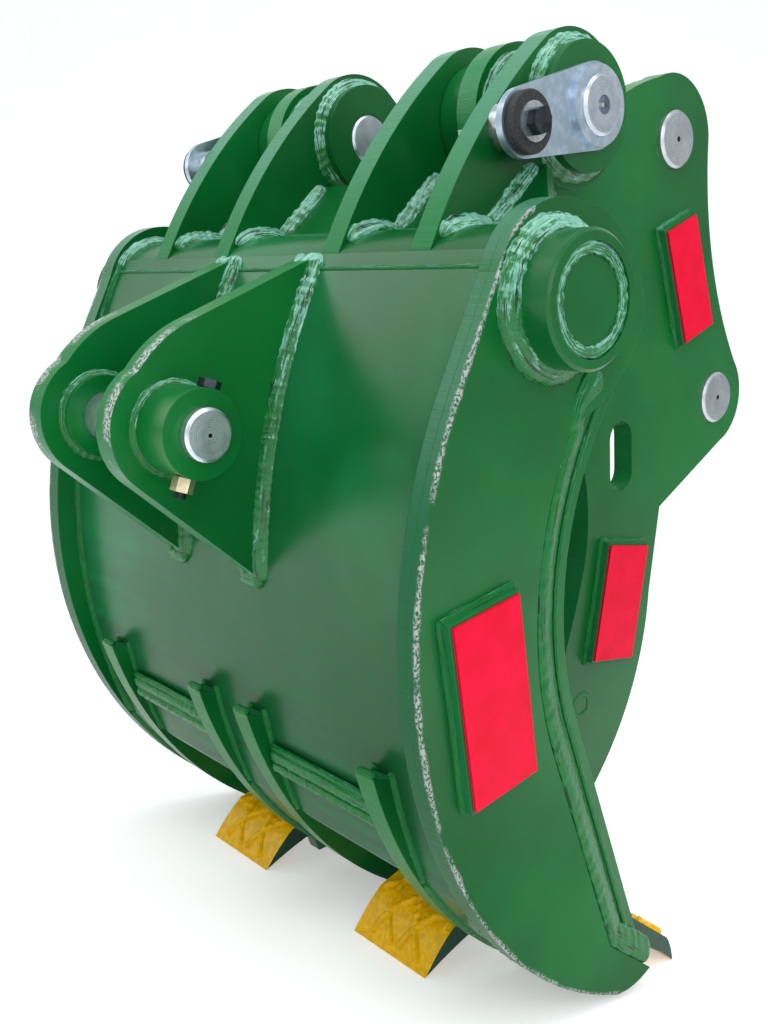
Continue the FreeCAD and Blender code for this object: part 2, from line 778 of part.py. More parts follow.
def make_lugs():
    """Eye plates: round at the hinge, with a neck that stands on the torque tube."""
    start = on_circle(TUBE, D.tube_radius, D.lug_toe_angle)
    crown = on_circle(HINGE, D.lug_radius, D.lug_crown_angle)
    heel = on_circle(HINGE, D.lug_radius, D.lug_heel_angle)
    foot = on_circle(TUBE, D.tube_radius, D.lug_foot_angle)
    eye = (D.lug_crown_angle + D.lug_heel_angle) / 2
    root = (D.lug_toe_angle + D.lug_foot_angle) / 2
    steps = [
        ((D.lug_front_y, D.lug_front_z), crown),
        (on_circle(HINGE, D.lug_radius, eye), heel),
        (foot,),
        (on_circle(TUBE, D.tube_radius, root), start),
    ]
    hole = [(HINGE, "Dimensions.hinge_pin_radius + Dimensions.fixed_fit")]
    for name, low in (("inner", LUG_INNER), ("outer", LUG_OUTER)):
        for side, x in both_sides(low, D.lug_thickness):
            label = "hinge_lug_%s_%s" % (side, name)
            plate(label, start, steps, x, "Dimensions.lug_thickness", hole)
    bore = D.hinge_pin_radius + D.fixed_fit
    bosses = []
    for name, low, high in (("inner", LUG_INNER - D.lug_boss_length, LUG_INNER),
                            ("outer", LUG_FACE, LUG_FACE + D.lug_boss_length)):
        profile = ring(low, high, D.lug_boss_radius, bore)
        bosses.append(turned("lug_boss_right_" + name, profile, HINGE, keep=False))
        bosses.append(turned("lug_boss_left_" + name, mirrored(profile), HINGE, keep=False))
    group("lug_bosses", bosses)


def gusset_tool(side, top, foot):
    """A block whose inner face is the sloping free edge of an outer web, front face at top."""
    sign = 1 if side == "right" else -1
    start = FreeCAD.Vector(sign * (LUG_FACE + D.gusset_top), *top)
    end = FreeCAD.Vector(sign * (SIDE_INNER - D.gusset_side_gap), *foot)
    edge = (end - start).normalize()
    across = FreeCAD.Vector(0, *toward(D.web_angle - 90, 1.0))
    out = edge.cross(across) * sign
    reach = SIDE_FACE
    tool = DOC.addObject("Part::Box", "gusset_tool_" + side)
    tool.Length = reach
    tool.Width = 2 * reach
    tool.Height = 3 * D.web_thickness
    up = out.cross(edge)
    corner = start - edge * reach - up * (1.5 * D.web_thickness)
    tool.Placement = FreeCAD.Placement(corner, FreeCAD.Rotation(out, edge, up, "ZXY"))
    return tool


def make_web():
    """Leaning cross plates that tie the lugs together behind the torque tube's crown.

    Those beside the outer lugs are gussets, cut off to a slope towards the side plates.
    """
    top = on_circle(HINGE, D.hinge_lobe_radius + D.web_clearance, D.web_top_angle)
    back_top = add(top, toward(D.web_angle - 90, D.web_thickness))
    down = D.web_angle + 180
    front_foot = line_on_circle(top, down, TUBE, D.tube_radius)
    back_foot = line_on_circle(back_top, down, TUBE, D.tube_radius)
    bend = on_circle(TUBE, D.tube_radius,
                     (angle_of(front_foot, TUBE) + angle_of(back_foot, TUBE)) / 2)
    steps = [(back_top,), (back_foot,), (bend, front_foot)]
    webs = [plate("web_middle", top, steps, -LUG_INNER, "Dimensions.lug_inner_gap", keep=False)]
    for name, low, high, width in (
            ("pair", LUG_INNER + D.lug_thickness, LUG_OUTER, "Dimensions.lug_pair_gap"),
            ("outer", LUG_FACE, SIDE_INNER, OUTER_WEB_WIDTH)):
        for side, x in both_sides(low, high - low):
            web = plate("web_%s_%s" % (name, side), top, steps, x, width, keep=False)
            if name == "outer":
                web = cut("gusset_" + side, web, gusset_tool(side, top, front_foot), keep=False)
            webs.append(web)
    group("lug_web", webs)


def make_ears():
    """Three-sided ears on the shell, round about the strut pin."""
    foot = shell_point(STRUT[1] - D.ear_foot_drop)
    crown = (D.ear_crown_y, D.ear_crown_z)
    brow = on_circle(STRUT, D.ear_radius, D.ear_brow_angle)
    chin = on_circle(STRUT, D.ear_radius, D.ear_chin_angle)
    front = on_circle(STRUT, D.ear_radius, (D.ear_brow_angle + D.ear_chin_angle) / 2)
    steps = [
        (crown,),
        (middle(crown, brow, -D.ear_bulge), brow),
        (front, chin),
        (foot,),
        (shell_point((foot[1] + SEAM[1]) / 2), SEAM),
    ]
    hole = [(STRUT, "Dimensions.strut_pin_radius + Dimensions.fixed_fit")]
    for side, low in both_sides(EAR_INNER, D.lug_thickness):
        plate("strut_ear_" + side, SEAM, steps, low, "Dimensions.lug_thickness", hole)


def upright(name, kind, sizes, x, lean, low):
    """A cylinder or prism whose axis leans in the side view, placed at a height along it."""
    piece = DOC.addObject(kind, name)
    for key, value in sizes.items():
        if isinstance(value, str):
            piece.setExpression(key, value)
        else:
            setattr(piece, key, value)
    turn = FreeCAD.Rotation(FreeCAD.Vector(1, 0, 0), -lean)
    place = FreeCAD.Vector(x, STRUT[0], STRUT[1]) + turn.multVec(FreeCAD.Vector(0, 0, low))
    piece.Placement = FreeCAD.Placement(place, turn)
    return piece


def make_strut_joint():
    bore = D.strut_pin_radius + D.fixed_fit
    bolt_x = EAR_FACE + D.strut_bolt_place
    length = 3 * D.ear_boss_radius
    hole = upright("strut_bolt_hole", "Part::Cylinder",
                   {"Radius": "Dimensions.strut_bolt_radius + Dimensions.fixed_fit",
                    "Height": length},
                   bolt_x, D.strut_bolt_lean_angle, -length / 2)
    high = EAR_FACE + D.ear_boss_length
    outer = ring(EAR_FACE, high, D.ear_boss_radius, bore)
    inner = ring(EAR_INNER - D.ear_ring_length, EAR_INNER, D.ear_boss_radius, bore)
    right = turned("ear_boss_right_outer", outer, STRUT, keep=False)
    right = cut("ear_boss_right_drilled", right, hole, keep=False)
    group("ear_boss_right", [right, turned("ear_ring_right", inner, STRUT, keep=False)])
    group("ear_boss_left", [turned("ear_boss_left_outer", mirrored(outer), STRUT, keep=False),
                            turned("ear_ring_left", mirrored(inner), STRUT, keep=False)])
    end = high + D.strut_pin_stand
    r = D.strut_pin_radius
    c = D.pin_chamfer
    rod = turned("strut_pin_rod", [(-end, 0), (end, 0), (end, r - c), (end - c, r),
                                   (-end + c, r), (-end, r - c)], STRUT, keep=False)
    cut("strut_pin", rod, hole)
    shank = 2 * D.ear_boss_radius + D.strut_nut_height + D.strut_bolt_radius
    rod = upright("bolt_shank", "Part::Cylinder",
                  {"Radius": "Dimensions.strut_bolt_radius", "Height": shank},
                  bolt_x, D.strut_bolt_lean_angle, D.ear_boss_radius - shank)
    head = upright("bolt_head", "Part::Prism",
                   {"Polygon": 6, "Circumradius": "Dimensions.strut_bolt_head_radius",
                    "Height": "Dimensions.strut_bolt_head_height"},
                   bolt_x, D.strut_bolt_lean_angle, D.ear_boss_radius)
    fuse("strut_pin_bolt", [rod, head])
    nut = upright("nut_blank", "Part::Prism",
                  {"Polygon": 6, "Circumradius": "Dimensions.strut_bolt_head_radius",
                   "Height": "Dimensions.strut_nut_height"},
                  bolt_x, D.strut_bolt_lean_angle, -D.ear_boss_radius - D.strut_nut_height)
    cut("strut_pin_nut", nut, hole)


def make_hinge_pins():
    tail = LUG_INNER - D.lug_boss_length - D.pin_tail_stand
    plate_face = LUG_FACE + D.lug_boss_length
    collar_low = plate_face + D.keeper_thickness
    end = collar_low + D.collar_length + D.pin_head_stand
    r = D.hinge_pin_radius
    c = D.pin_chamfer
    hole = D.grease_hole_radius
    deep = end - D.grease_hole_depth
    profile = [(tail, 0), (deep, 0), (deep, hole), (end, hole), (end, r - c), (end - c, r),
               (tail + c, r), (tail, r - c)]
    tip = end - D.nipple_recess
    nipple = [(deep, 0), (tip, 0), (tip, D.nipple_tip_radius),
              (deep + D.nipple_base, D.nipple_radius), (deep, D.nipple_radius)]
    collar = ring(collar_low, collar_low + D.collar_length, D.collar_radius, r + D.fixed_fit)
    ring_low = collar_low
    ring_high = ring_low + D.ring_length
    sleeve_high = ring_high + D.sleeve_stand
    rubber = ring(ring_low, ring_high, D.ring_radius, D.sleeve_radius, D.rubber_round)
    sleeve = ring(ring_low, sleeve_high, D.sleeve_radius, D.bolt_radius + D.fixed_fit)
    post = ring(LUG_FACE, plate_face, D.keeper_post_radius, D.bolt_radius + D.fixed_fit)
    nipples, collars, rubbers, sleeves, posts, bolts = [], [], [], [], [], []
    for side in ("right", "left"):
        flip = mirrored if side == "left" else list
        turned("hinge_pin_" + side, flip(profile), HINGE)
        nipples.append(turned("nipple_" + side, flip(nipple), HINGE, keep=False))
        collars.append(turned("collar_" + side, flip(collar), HINGE, keep=False))
        rubbers.append(turned("rubber_" + side, flip(rubber), KEEPER, keep=False))
        sleeves.append(turned("sleeve_" + side, flip(sleeve), KEEPER, keep=False))
        posts.append(turned("post_" + side, flip(post), KEEPER, keep=False))
        bolts.append(keeper_bolt(side, LUG_FACE, sleeve_high))
    lean = angle_of(KEEPER, HINGE)
    spread = math.degrees(math.acos((D.keeper_hub_radius - D.keeper_radius)
                                    / math.dist(HINGE, KEEPER)))
    start = on_circle(HINGE, D.keeper_hub_radius, lean + spread)
    steps = [
        (on_circle(KEEPER, D.keeper_radius, lean + spread),),
        (on_circle(KEEPER, D.keeper_radius, lean),
         on_circle(KEEPER, D.keeper_radius, lean - spread)),
        (on_circle(HINGE, D.keeper_hub_radius, lean - spread),),
        (on_circle(HINGE, D.keeper_hub_radius, lean + 180), start),
    ]
    holes = [(HINGE, "Dimensions.hinge_pin_radius + Dimensions.fixed_fit"),
             (KEEPER, "Dimensions.bolt_radius + Dimensions.fixed_fit")]
    for side, low in both_sides(plate_face, D.keeper_thickness):
        plate("keeper_plate_" + side, start, steps, low, "Dimensions.keeper_thickness", holes)
    group("pin_collars", collars)
    group("rubber_rings", rubbers)
    group("keeper_spacers", posts + sleeves)
    group("keeper_bolts", bolts)
    group("grease_nipples", nipples)


def keeper_bolt(side, low, seat):
    """Hexagon bolt along X: head on the sleeve, shank in the post."""
    sign = 1 if side == "right" else -1
    turn = FreeCAD.Rotation(FreeCAD.Vector(0, 1, 0), 90 * sign)
    shank = DOC.addObject("Part::Cylinder", "keeper_shank_" + side)
    shank.setExpression("Radius", "Dimensions.bolt_radius")
    shank.Height = seat - low
    place = FreeCAD.Vector(sign * low, KEEPER[0], KEEPER[1])
    shank.Placement = FreeCAD.Placement(place, turn)
    head = DOC.addObject("Part::Prism", "keeper_head_" + side)
    head.Polygon = 6
    head.setExpression("Circumradius", "Dimensions.bolt_head_radius")
    head.setExpression("Height", "Dimensions.bolt_head_height")
    place = FreeCAD.Vector(sign * seat, KEEPER[0], KEEPER[1])
    head.Placement = FreeCAD.Placement(place, turn)
    return fuse("keeper_bolt_" + side, [shank, head], keep=False)


# Rear jaw

def rear_tine_end():
    """The lower end of a rear tine plate, from its outer arc round to the palm edge."""
    under = REAR_TOOTH["bottom"]
    rise = meet(add(HEEL, (-D.heel_length, 0)), 90, under, REAR_TOOTH["along"])
    return HEEL, rise


def rear_palm_mid():
    """A point half way along the palm edge of a rear tine, bowed towards the back."""
    return middle((D.throat_y, D.throat_z), REAR_TOOTH["top"], D.palm_bulge)


def obround(centre, length, width, lean):
    """A slot: two straight flanks and two round ends, leaning from upright."""
    half = (length - width) / 2
    top = add(centre, toward(90 + lean, half))
    low = add(centre, toward(-90 + lean, half))
    r = width / 2
    start = add(top, toward(lean, r))
    steps = [
        (add(top, toward(90 + lean, r)), add(top, toward(180 + lean, r))),
        (add(low, toward(180 + lean, r)),),
        (add(low, toward(-90 + lean, r)), add(low, toward(lean, r))),
    ]
    return geometry(start, steps)


def make_mount_plates():
    """One plate on each side runs from the hinge and hitch pins down to the rear tooth."""
    hinge_back = on_circle(HINGE, D.hinge_lobe_radius, D.hinge_back_angle)
    hinge_low = on_circle(HINGE, D.hinge_lobe_radius, D.hinge_low_angle)
    hinge_front = (D.hinge_back_angle + D.hinge_low_angle) / 2
    saddle = (D.saddle_y, D.saddle_z)
    stick_front = on_circle(STICK, D.stick_lobe_radius, D.stick_front_angle)
    stick_back = on_circle(STICK, D.stick_lobe_radius, D.stick_back_angle)
    stick_top = (D.stick_front_angle + D.stick_back_angle) / 2
    link_top = on_circle(LINK, D.link_lobe_radius, D.link_top_angle)
    link_low = on_circle(LINK, D.link_lobe_radius, D.link_low_angle)
    link_back = (D.link_top_angle + D.link_low_angle) / 2
    half_way = (REAR_TOP_ANGLE + REAR_END_ANGLE) / 2
    heel, rise = rear_tine_end()
    throat = (D.throat_y, D.throat_z)
    chin = (D.chin_y, D.chin_z)
    brow = (D.brow_y, D.brow_z)
    steps = [
        (saddle,),
        (middle(saddle, stick_front, D.saddle_bulge), stick_front),
        (on_circle(STICK, D.stick_lobe_radius, stick_top), stick_back),
        (middle(STICK, LINK, D.hitch_waist), link_top),
        (on_circle(LINK, D.link_lobe_radius, link_back), link_low),
        ((D.shoulder_y, D.shoulder_z),),
        (REAR_TOP,),
        (on_circle(REAR, D.rear_radius, half_way), heel),
        (rise,),
        (REAR_TOOTH["bottom"],),
        (REAR_TOOTH["top"],),
        (rear_palm_mid(), throat),
        (middle(throat, chin, -D.throat_bulge), chin),
        (middle(chin, brow, D.brow_bulge), brow),
        (hinge_low,),
        (on_circle(HINGE, D.hinge_lobe_radius, hinge_front), hinge_back),
    ]
    holes = [(HINGE, "Dimensions.hinge_pin_radius + Dimensions.bush_wall + Dimensions.running_fit"),
             (STICK, "Dimensions.hitch_pin_radius + Dimensions.fixed_fit"),
             (LINK, "Dimensions.hitch_pin_radius + Dimensions.fixed_fit")]
    for side, low in both_sides(MOUNT_INNER, D.lug_thickness):
        label = "mount_plate_" + side
        body = plate(label, hinge_back, steps, low, "Dimensions.lug_thickness", holes)
        sketch = next(o for o in body.Group if o.TypeId == "Sketcher::SketchObject")
        slot = obround((D.slot_y, D.slot_z), D.slot_length, D.slot_width, D.slot_lean_angle)
        sketch.addGeometry(slot, False)


def make_rear_tines():
    heel, rise = rear_tine_end()
    throat = (D.throat_y, D.throat_z)
    palm_mid = rear_palm_mid()
    centre, radius = circle_through(throat, palm_mid, REAR_TOOTH["top"])
    top_angle = math.degrees(math.asin((D.tine_top_z - centre[1]) / radius))
    end_angle = angle_of(REAR_TOOTH["top"], centre)
    top = on_circle(centre, radius, top_angle)
    sine = (D.tine_top_z - REAR[1]) / D.rear_radius
    outer_angle = math.degrees(math.asin(sine))
    outer_top = on_circle(REAR, D.rear_radius, outer_angle)
    steps = [
        (outer_top,),
        (on_circle(REAR, D.rear_radius, (outer_angle + REAR_END_ANGLE) / 2), heel),
        (rise,),
        (REAR_TOOTH["bottom"],),
        (REAR_TOOTH["top"],),
        (on_circle(centre, radius, (top_angle + end_angle) / 2), top),
    ]
    tines = []
    for side, low in both_sides(REAR_TINE, D.tine_plate_thickness):
        label = "inner_tine_plate_" + side
        tines.append(plate(label, top, steps, low, "Dimensions.tine_plate_thickness"))
    wall = D.palm_thickness
    back_top = on_circle(centre, radius + wall, top_angle)
    back_end = meet(on_circle(centre, radius + wall, end_angle), end_angle - 90,
                    REAR_TOOTH["bottom"], REAR_TOOTH["across"])
    palm = [
        (on_circle(centre, radius, (top_angle + end_angle) / 2), REAR_TOOTH["top"]),
        (back_end,),
        (on_circle(centre, radius + wall, (top_angle + end_angle) / 2), back_top),
    ]
    low = REAR_TINE + D.tine_plate_thickness
    strips = []
    for side, x in both_sides(low, MOUNT_INNER - low):
        strips.append(plate("rear_palm_strip_" + side, top, palm, x, REAR_STRIP_WIDTH,
                            keep=False))
    group("rear_palm_strips", strips)
    return tines


def make_rear_shell(tines):
    radius = D.rear_radius - D.rear_setback
    wall = D.shell_thickness
    first = D.rear_shell_top_angle
    last = REAR_END_ANGLE + D.rear_shell_end_angle
    start = on_circle(REAR, radius, first)
    steps = [
        (on_circle(REAR, radius, (first + last) / 2), on_circle(REAR, radius, last)),
        (on_circle(REAR, radius - wall, last),),
        (on_circle(REAR, radius - wall, (first + last) / 2),
         on_circle(REAR, radius - wall, first)),
    ]
    blank = plate("rear_shell_blank", start, steps, -MOUNT_INNER, BETWEEN_MOUNTS, keep=False)
    lip = on_circle(REAR, radius, D.rear_lip_angle)
    bay = block("rear_bay", -REAR_TINE, REAR_BAY_WIDTH,
                (REAR[0], REAR[0] + D.rear_radius), (REAR[1] - D.rear_radius, lip[1]))
    tools = fuse("rear_shell_tools", [bay] + tines, keep=False)
    cut("rear_shell", blank, tools)
    cross = (D.cross_tube_y, D.cross_tube_z)
    inner = D.cross_tube_radius - D.cross_tube_wall
    turned("rear_cross_tube", ring(-MOUNT_INNER, MOUNT_INNER, D.cross_tube_radius, inner), cross)


def make_rear_hinge():
    inner_face = LUG_INNER + D.lug_thickness + D.hinge_side_play
    outer_face = LUG_OUTER - D.hinge_side_play
    seat = D.hinge_pin_radius + D.bush_wall + D.running_fit
    bore = D.hinge_pin_radius + D.running_fit
    bosses = []
    bushes = []
    for side in ("right", "left"):
        flip = mirrored if side == "left" else list
        for name, low, high in (("inner", inner_face, MOUNT_INNER),
                                ("outer", MOUNT_OUTER, outer_face)):
            profile = flip(ring(low, high, D.hinge_boss_radius, seat))
            label = "hinge_boss_%s_%s" % (side, name)
            bosses.append(turned(label, profile, HINGE, keep=False))
        bush = ring(inner_face, outer_face, D.hinge_pin_radius + D.bush_wall, bore)
        bushes.append(turned("hinge_bush_" + side, flip(bush), HINGE, keep=False))
    group("hinge_bosses", bosses)
    group("hinge_bushes", bushes)


def make_hitch_pins():
    end = MOUNT_OUTER + D.hitch_pin_stand
    r = D.hitch_pin_radius
    c = D.pin_chamfer
    profile = [(-end, 0), (end, 0), (end, r - c), (end - c, r), (-end + c, r), (-end, r - c)]
    collars = []
    for name, centre in (("stick", STICK), ("link", LINK)):
        turned(name + "_pin", profile, centre)
        low = MOUNT_INNER - D.hitch_collar_length
        collar = ring(low, MOUNT_INNER, D.hitch_collar_radius, r + D.fixed_fit,
                      D.hitch_collar_round)
        collars.append(turned("%s_collar_right" % name, collar, centre, keep=False))
        collars.append(turned("%s_collar_left" % name, mirrored(collar), centre, keep=False))
    group("hitch_collars", collars)


def make_rear_teeth():
    outer = SIDE_RIB - D.tooth_play_outer
    for side, low in both_sides(REAR_TINE, outer - REAR_TINE):
        tooth("rear_tooth_" + side, REAR_TOOTH, low, REAR_TOOTH_WIDTH)


# Raised bare panels on the cheeks and mount plates

def panel(name, centre, length, width, angle, low, thickness):
    """A rectangle in the side view whose long side runs at angle."""
    along = toward(angle, length / 2)
    across = toward(angle + 90, width / 2)
    corners = []
    for a, b in ((-1, -1), (1, -1), (1, 1), (-1, 1)):
        corners.append((centre[0] + a * along[0] + b * across[0],
                        centre[1] + a * along[1] + b * across[1]))
    steps = [(corner,) for corner in corners[1:]]
    return plate(name, corners[0], steps, low, thickness, keep=False)


def make_panels():
    rows = {
        "front": [(D.front_panel_y, D.front_panel_z, D.front_panel_length, D.front_panel_width,
                   D.front_panel_angle, SIDE_FACE)],
        "rear": [(D.rear_panel_y, D.rear_panel_z, D.rear_panel_length, D.rear_panel_width,
                  D.rear_panel_angle, MOUNT_OUTER),
                 (D.hitch_panel_y, D.hitch_panel_z, D.hitch_panel_length, D.hitch_panel_width,
                  D.hitch_panel_angle, MOUNT_OUTER)],
    }
    for jaw, panels in rows.items():
        bases = []
        faces = []
        for number, (y, z, length, width, angle, face) in enumerate(panels):
            border = 2 * D.panel_border
            for side, low in both_sides(face, D.panel_thickness):
                name = "%s_base_%d_%s" % (jaw, number, side)
                bases.append(panel(name, (y, z), length + border, width + border, angle, low,
                                   "Dimensions.panel_thickness"))
            for side, low in both_sides(face + D.panel_thickness, D.panel_face_thickness):
                name = "%s_face_%d_%s" % (jaw, number, side)
                faces.append(panel(name, (y, z), length, width, angle, low,
                                   "Dimensions.panel_face_thickness"))
        group(jaw + "_panel_bases", bases)
        group(jaw + "_panel_faces", faces)


def build():
    make_tube()
    make_sides()
    ribs = make_ribs()
    make_front_shell(ribs)
    make_palm_strips()
    make_bay_bars()
    make_front_teeth()
    make_lugs()
    make_web()
    make_ears()
    make_strut_joint()
    make_hinge_pins()
    make_mount_plates()
    tines = make_rear_tines()
    make_rear_shell(tines)
    make_rear_hinge()
    make_hitch_pins()
    make_rear_teeth()
    make_panels()


def check():
    for item in DOC.Objects:
        if "Invalid" in item.State or "Error" in item.State:
            raise RuntimeError("failed: " + item.Label)
    for node in NODES:
        shape = node.Shape
        if shape.isNull() or not shape.isValid() or not shape.Solids:
            raise RuntimeError("no valid solid: " + node.Label)


def export():
    os.makedirs("parts", exist_ok=True)
    for node in NODES:
        node.Shape.exportStep("parts/%s.step" % node.Label)


build()
DOC.recompute()
check()
export()
triangles = 0
for node in NODES:
    facets = len(node.Shape.tessellate(0.5)[1])
    triangles += facets
    print("%-26s solids %d  volume %.0f cm3" % (node.Label, len(node.Shape.Solids),
                                                 node.Shape.Volume / 1000))
print("nodes", len(NODES), "triangles", triangles)
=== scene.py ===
# %% [markdown]
# A mechanical grapple for an excavator, dressed for a picture.
# The plates, shells, pins and bosses come from the CAD frame and are never changed here. What a
# welder and a painter add to them is made below: weld beads as real geometry, hard-facing on the
# teeth, and a painted or plated finish for every piece.

import bpy
import numpy as np
from mathutils import Matrix, Vector


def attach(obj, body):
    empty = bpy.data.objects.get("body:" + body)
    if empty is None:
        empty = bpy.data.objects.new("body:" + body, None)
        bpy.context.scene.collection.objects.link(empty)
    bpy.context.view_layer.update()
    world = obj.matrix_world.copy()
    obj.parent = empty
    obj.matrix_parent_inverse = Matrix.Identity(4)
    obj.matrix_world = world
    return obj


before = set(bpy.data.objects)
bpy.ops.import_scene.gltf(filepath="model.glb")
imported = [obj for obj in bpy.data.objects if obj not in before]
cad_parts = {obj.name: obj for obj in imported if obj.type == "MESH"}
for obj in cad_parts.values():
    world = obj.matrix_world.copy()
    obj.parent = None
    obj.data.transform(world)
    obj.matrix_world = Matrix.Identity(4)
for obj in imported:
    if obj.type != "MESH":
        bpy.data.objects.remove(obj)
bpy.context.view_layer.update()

# %% [markdown]
# The camera stands at the photographer's place: in front of the jaw's right cheek, a little
# above the strut pin, turned a few degrees about its own line of sight. Its three directions
# are given as a matrix, because a lens that leans is awkward to give as angles.

# %% Camera
CAMERA_PLACE = (0.9979, -1.1557, -0.4118)
CAMERA_RIGHT = (0.66541223, 0.73213964, 0.1455957)
CAMERA_UP = (-0.15531816, -0.05498305, 0.98633318)
CAMERA_FORWARD = (-0.73013891, 0.67893182, -0.07712819)
FOCAL_LENGTH = 37.6


def make_camera():
    """The three directions are the columns of the camera's rotation."""
    data = bpy.data.cameras.new("photographer")
    data.lens = FOCAL_LENGTH
    data.sensor_width = 36.0
    data.clip_end = 60.0
    camera = bpy.data.objects.new("photographer", data)
    bpy.context.scene.collection.objects.link(camera)
    turn = Matrix((CAMERA_RIGHT, CAMERA_UP, [-v for v in CAMERA_FORWARD])).transposed()
    camera.matrix_world = Matrix.Translation(CAMERA_PLACE) @ turn.to_4x4()
    bpy.context.scene.camera = camera
    print("camera", FOCAL_LENGTH, "mm at", CAMERA_PLACE)


make_camera()

# %% [markdown]
# A surface is computed as a grid of points. The helper below turns such a grid into a mesh in
# one go: numpy works out all the corners of all the faces, and foreach_set hands them over.

# %% Grid to mesh
def grid_faces(rows, columns, around, along):
    """Corners of the quads of a grid; around closes its columns, along closes its rows."""
    i = np.arange(rows if along else rows - 1)[:, None]
    j = np.arange(columns if around else columns - 1)[None, :]
    below = (i + 1) % rows
    beside = (j + 1) % columns
    quads = np.stack([i * columns + j, i * columns + beside,
                      below * columns + beside, below * columns + j], axis=-1)
    return quads.reshape(-1, 4)


def mesh_piece(name, points, faces, material):
    """An object at the origin whose mesh holds the given points and equal-sided faces."""
    mesh = bpy.data.meshes.new(name)
    mesh.vertices.add(len(points))
    mesh.vertices.foreach_set("co", np.asarray(points, np.float32).ravel())
    count = [len(f) for f in faces]
    corners = np.concatenate([f.ravel() for f in faces])
    sides = np.concatenate([np.full(n, f.shape[1]) for n, f in zip(count, faces)])
    starts = np.concatenate([[0], np.cumsum(sides)[:-1]])
    mesh.loops.add(len(corners))
    mesh.loops.foreach_set("vertex_index", corners.astype(np.int32))
    mesh.polygons.add(len(sides))
    mesh.polygons.foreach_set("loop_start", starts.astype(np.int32))
    mesh.polygons.foreach_set("loop_total", sides.astype(np.int32))
    mesh.polygons.foreach_set("use_smooth", np.ones(len(sides), bool))
    mesh.update(calc_edges=True)
    mesh.validate()
    mesh.materials.append(material)
    piece = bpy.data.objects.new(name, mesh)
    bpy.context.scene.collection.objects.link(piece)
    return piece


# %% [markdown]
# The part's pins, bosses and crescents are round in the side view, and paint and beads follow
# these circles. So each centre is named once, as (y, z) in millimetres from the stick pin. It
# could be measured on the mesh instead, but a drawing gives it as plain numbers too.

# %% Centres in the side view
MM = 0.001
STICK_PIN = (0.0, 0.0)
LINK_PIN = (192.0, -301.0)
HINGE = (-280.0, -56.0)
STRUT = (-603.0, -442.0)
JAW = (23.0, -495.0)
print("hinge pin to strut pin, mm", round(float(np.hypot(*np.subtract(HINGE, STRUT)))))

# %% [markdown]
# Finishes are shader trees. The small class below keeps their wiring short: every call adds one
# node, and an input is either a value or another node's output. Patterns read the object's own
# coordinates, which are metres in the grapple's frame, so a place on the model can be named by
# its real position.

# %% Shader helper
class Finish:
    """One material round a Principled shader."""

    def __init__(self, name, **sockets):
        self.material = bpy.data.materials.new(name)
        self.material.use_nodes = True
        self.tree = self.material.node_tree
        self.shader = self.tree.nodes["Principled BSDF"]
        self.set(**sockets)
        where = self.tree.nodes.new("ShaderNodeTexCoord")
        self.place = where.outputs["Object"]
        self.facing = where.outputs["Normal"]

    def set(self, **sockets):
        for key, value in sockets.items():
            self.join(self.shader.inputs[key.replace("_", " ")], value)

    def join(self, socket, value):
        if isinstance(value, bpy.types.NodeSocket):
            self.tree.links.new(value, socket)
        else:
            socket.default_value = value

    def add(self, kind, output=0, inputs=(), **settings):
        node = self.tree.nodes.new("ShaderNode" + kind)
        for key, value in settings.items():
            setattr(node, key, value)
        for key, value in dict(inputs).items():
            self.join(node.inputs[key], value)
        return node.outputs[output]

    def math(self, operation, a, b=0.0):
        return self.add("Math", 0, {0: a, 1: b}, operation=operation)

    def times(self, a, b):
        return self.math("MULTIPLY", a, b)

    def plus(self, a, b):
        return self.math("ADD", a, b)

    def rest(self, a):
        """What is left of 1."""
        return self.math("SUBTRACT", 1.0, a)

    def noise(self, scale, detail=3.0, vector=None, roughness=0.55):
        inputs = {"Scale": scale, "Detail": detail, "Roughness": roughness,
                  "Vector": vector or self.place}
        return self.add("TexNoise", 0, inputs)

    def stretch(self, scale):
        """The object's coordinates, scaled along each axis."""
        return self.add("Mapping", 0, {"Vector": self.place, "Scale": scale})

    def ramp(self, value, low, high):
        """0 below low, 1 above high, smooth between."""
        inputs = {"Value": value, "From Min": low, "From Max": high}
        return self.add("MapRange", 0, inputs, interpolation_type="SMOOTHSTEP")

    def mix(self, factor, a, b):
        node = self.tree.nodes.new("ShaderNodeMix")
        node.data_type = "RGBA"
        self.join(node.inputs[0], factor)
        self.join(node.inputs[6], a)
        self.join(node.inputs[7], b)
        return node.outputs[2]

    def pick(self, test, first, second):
        """first where test is 1, second where it is 0."""
        return self.plus(self.times(test, first), self.times(self.rest(test), second))

    def parts(self, vector):
        node = self.tree.nodes.new("ShaderNodeSeparateXYZ")
        self.join(node.inputs[0], vector)
        return node.outputs

    def bump(self, height, distance, strength=1.0, normal=None):
        inputs = {"Height": height, "Distance": distance, "Strength": strength}
        if normal is not None:
            inputs["Normal"] = normal
        return self.add("Bump", 0, inputs)

    def radius_about(self, centre):
        """Distance in metres from the line along X through centre, (y, z) in millimetres."""
        shifted = self.add("Mapping", 0, {"Vector": self.place,
                                          "Location": (0.0, -centre[0] * MM, -centre[1] * MM)})
        flat = self.add("VectorMath", 0, {0: shifted, 1: (0.0, 1.0, 1.0)}, operation="MULTIPLY")
        return self.add("VectorMath", 1, {0: flat}, operation="LENGTH")
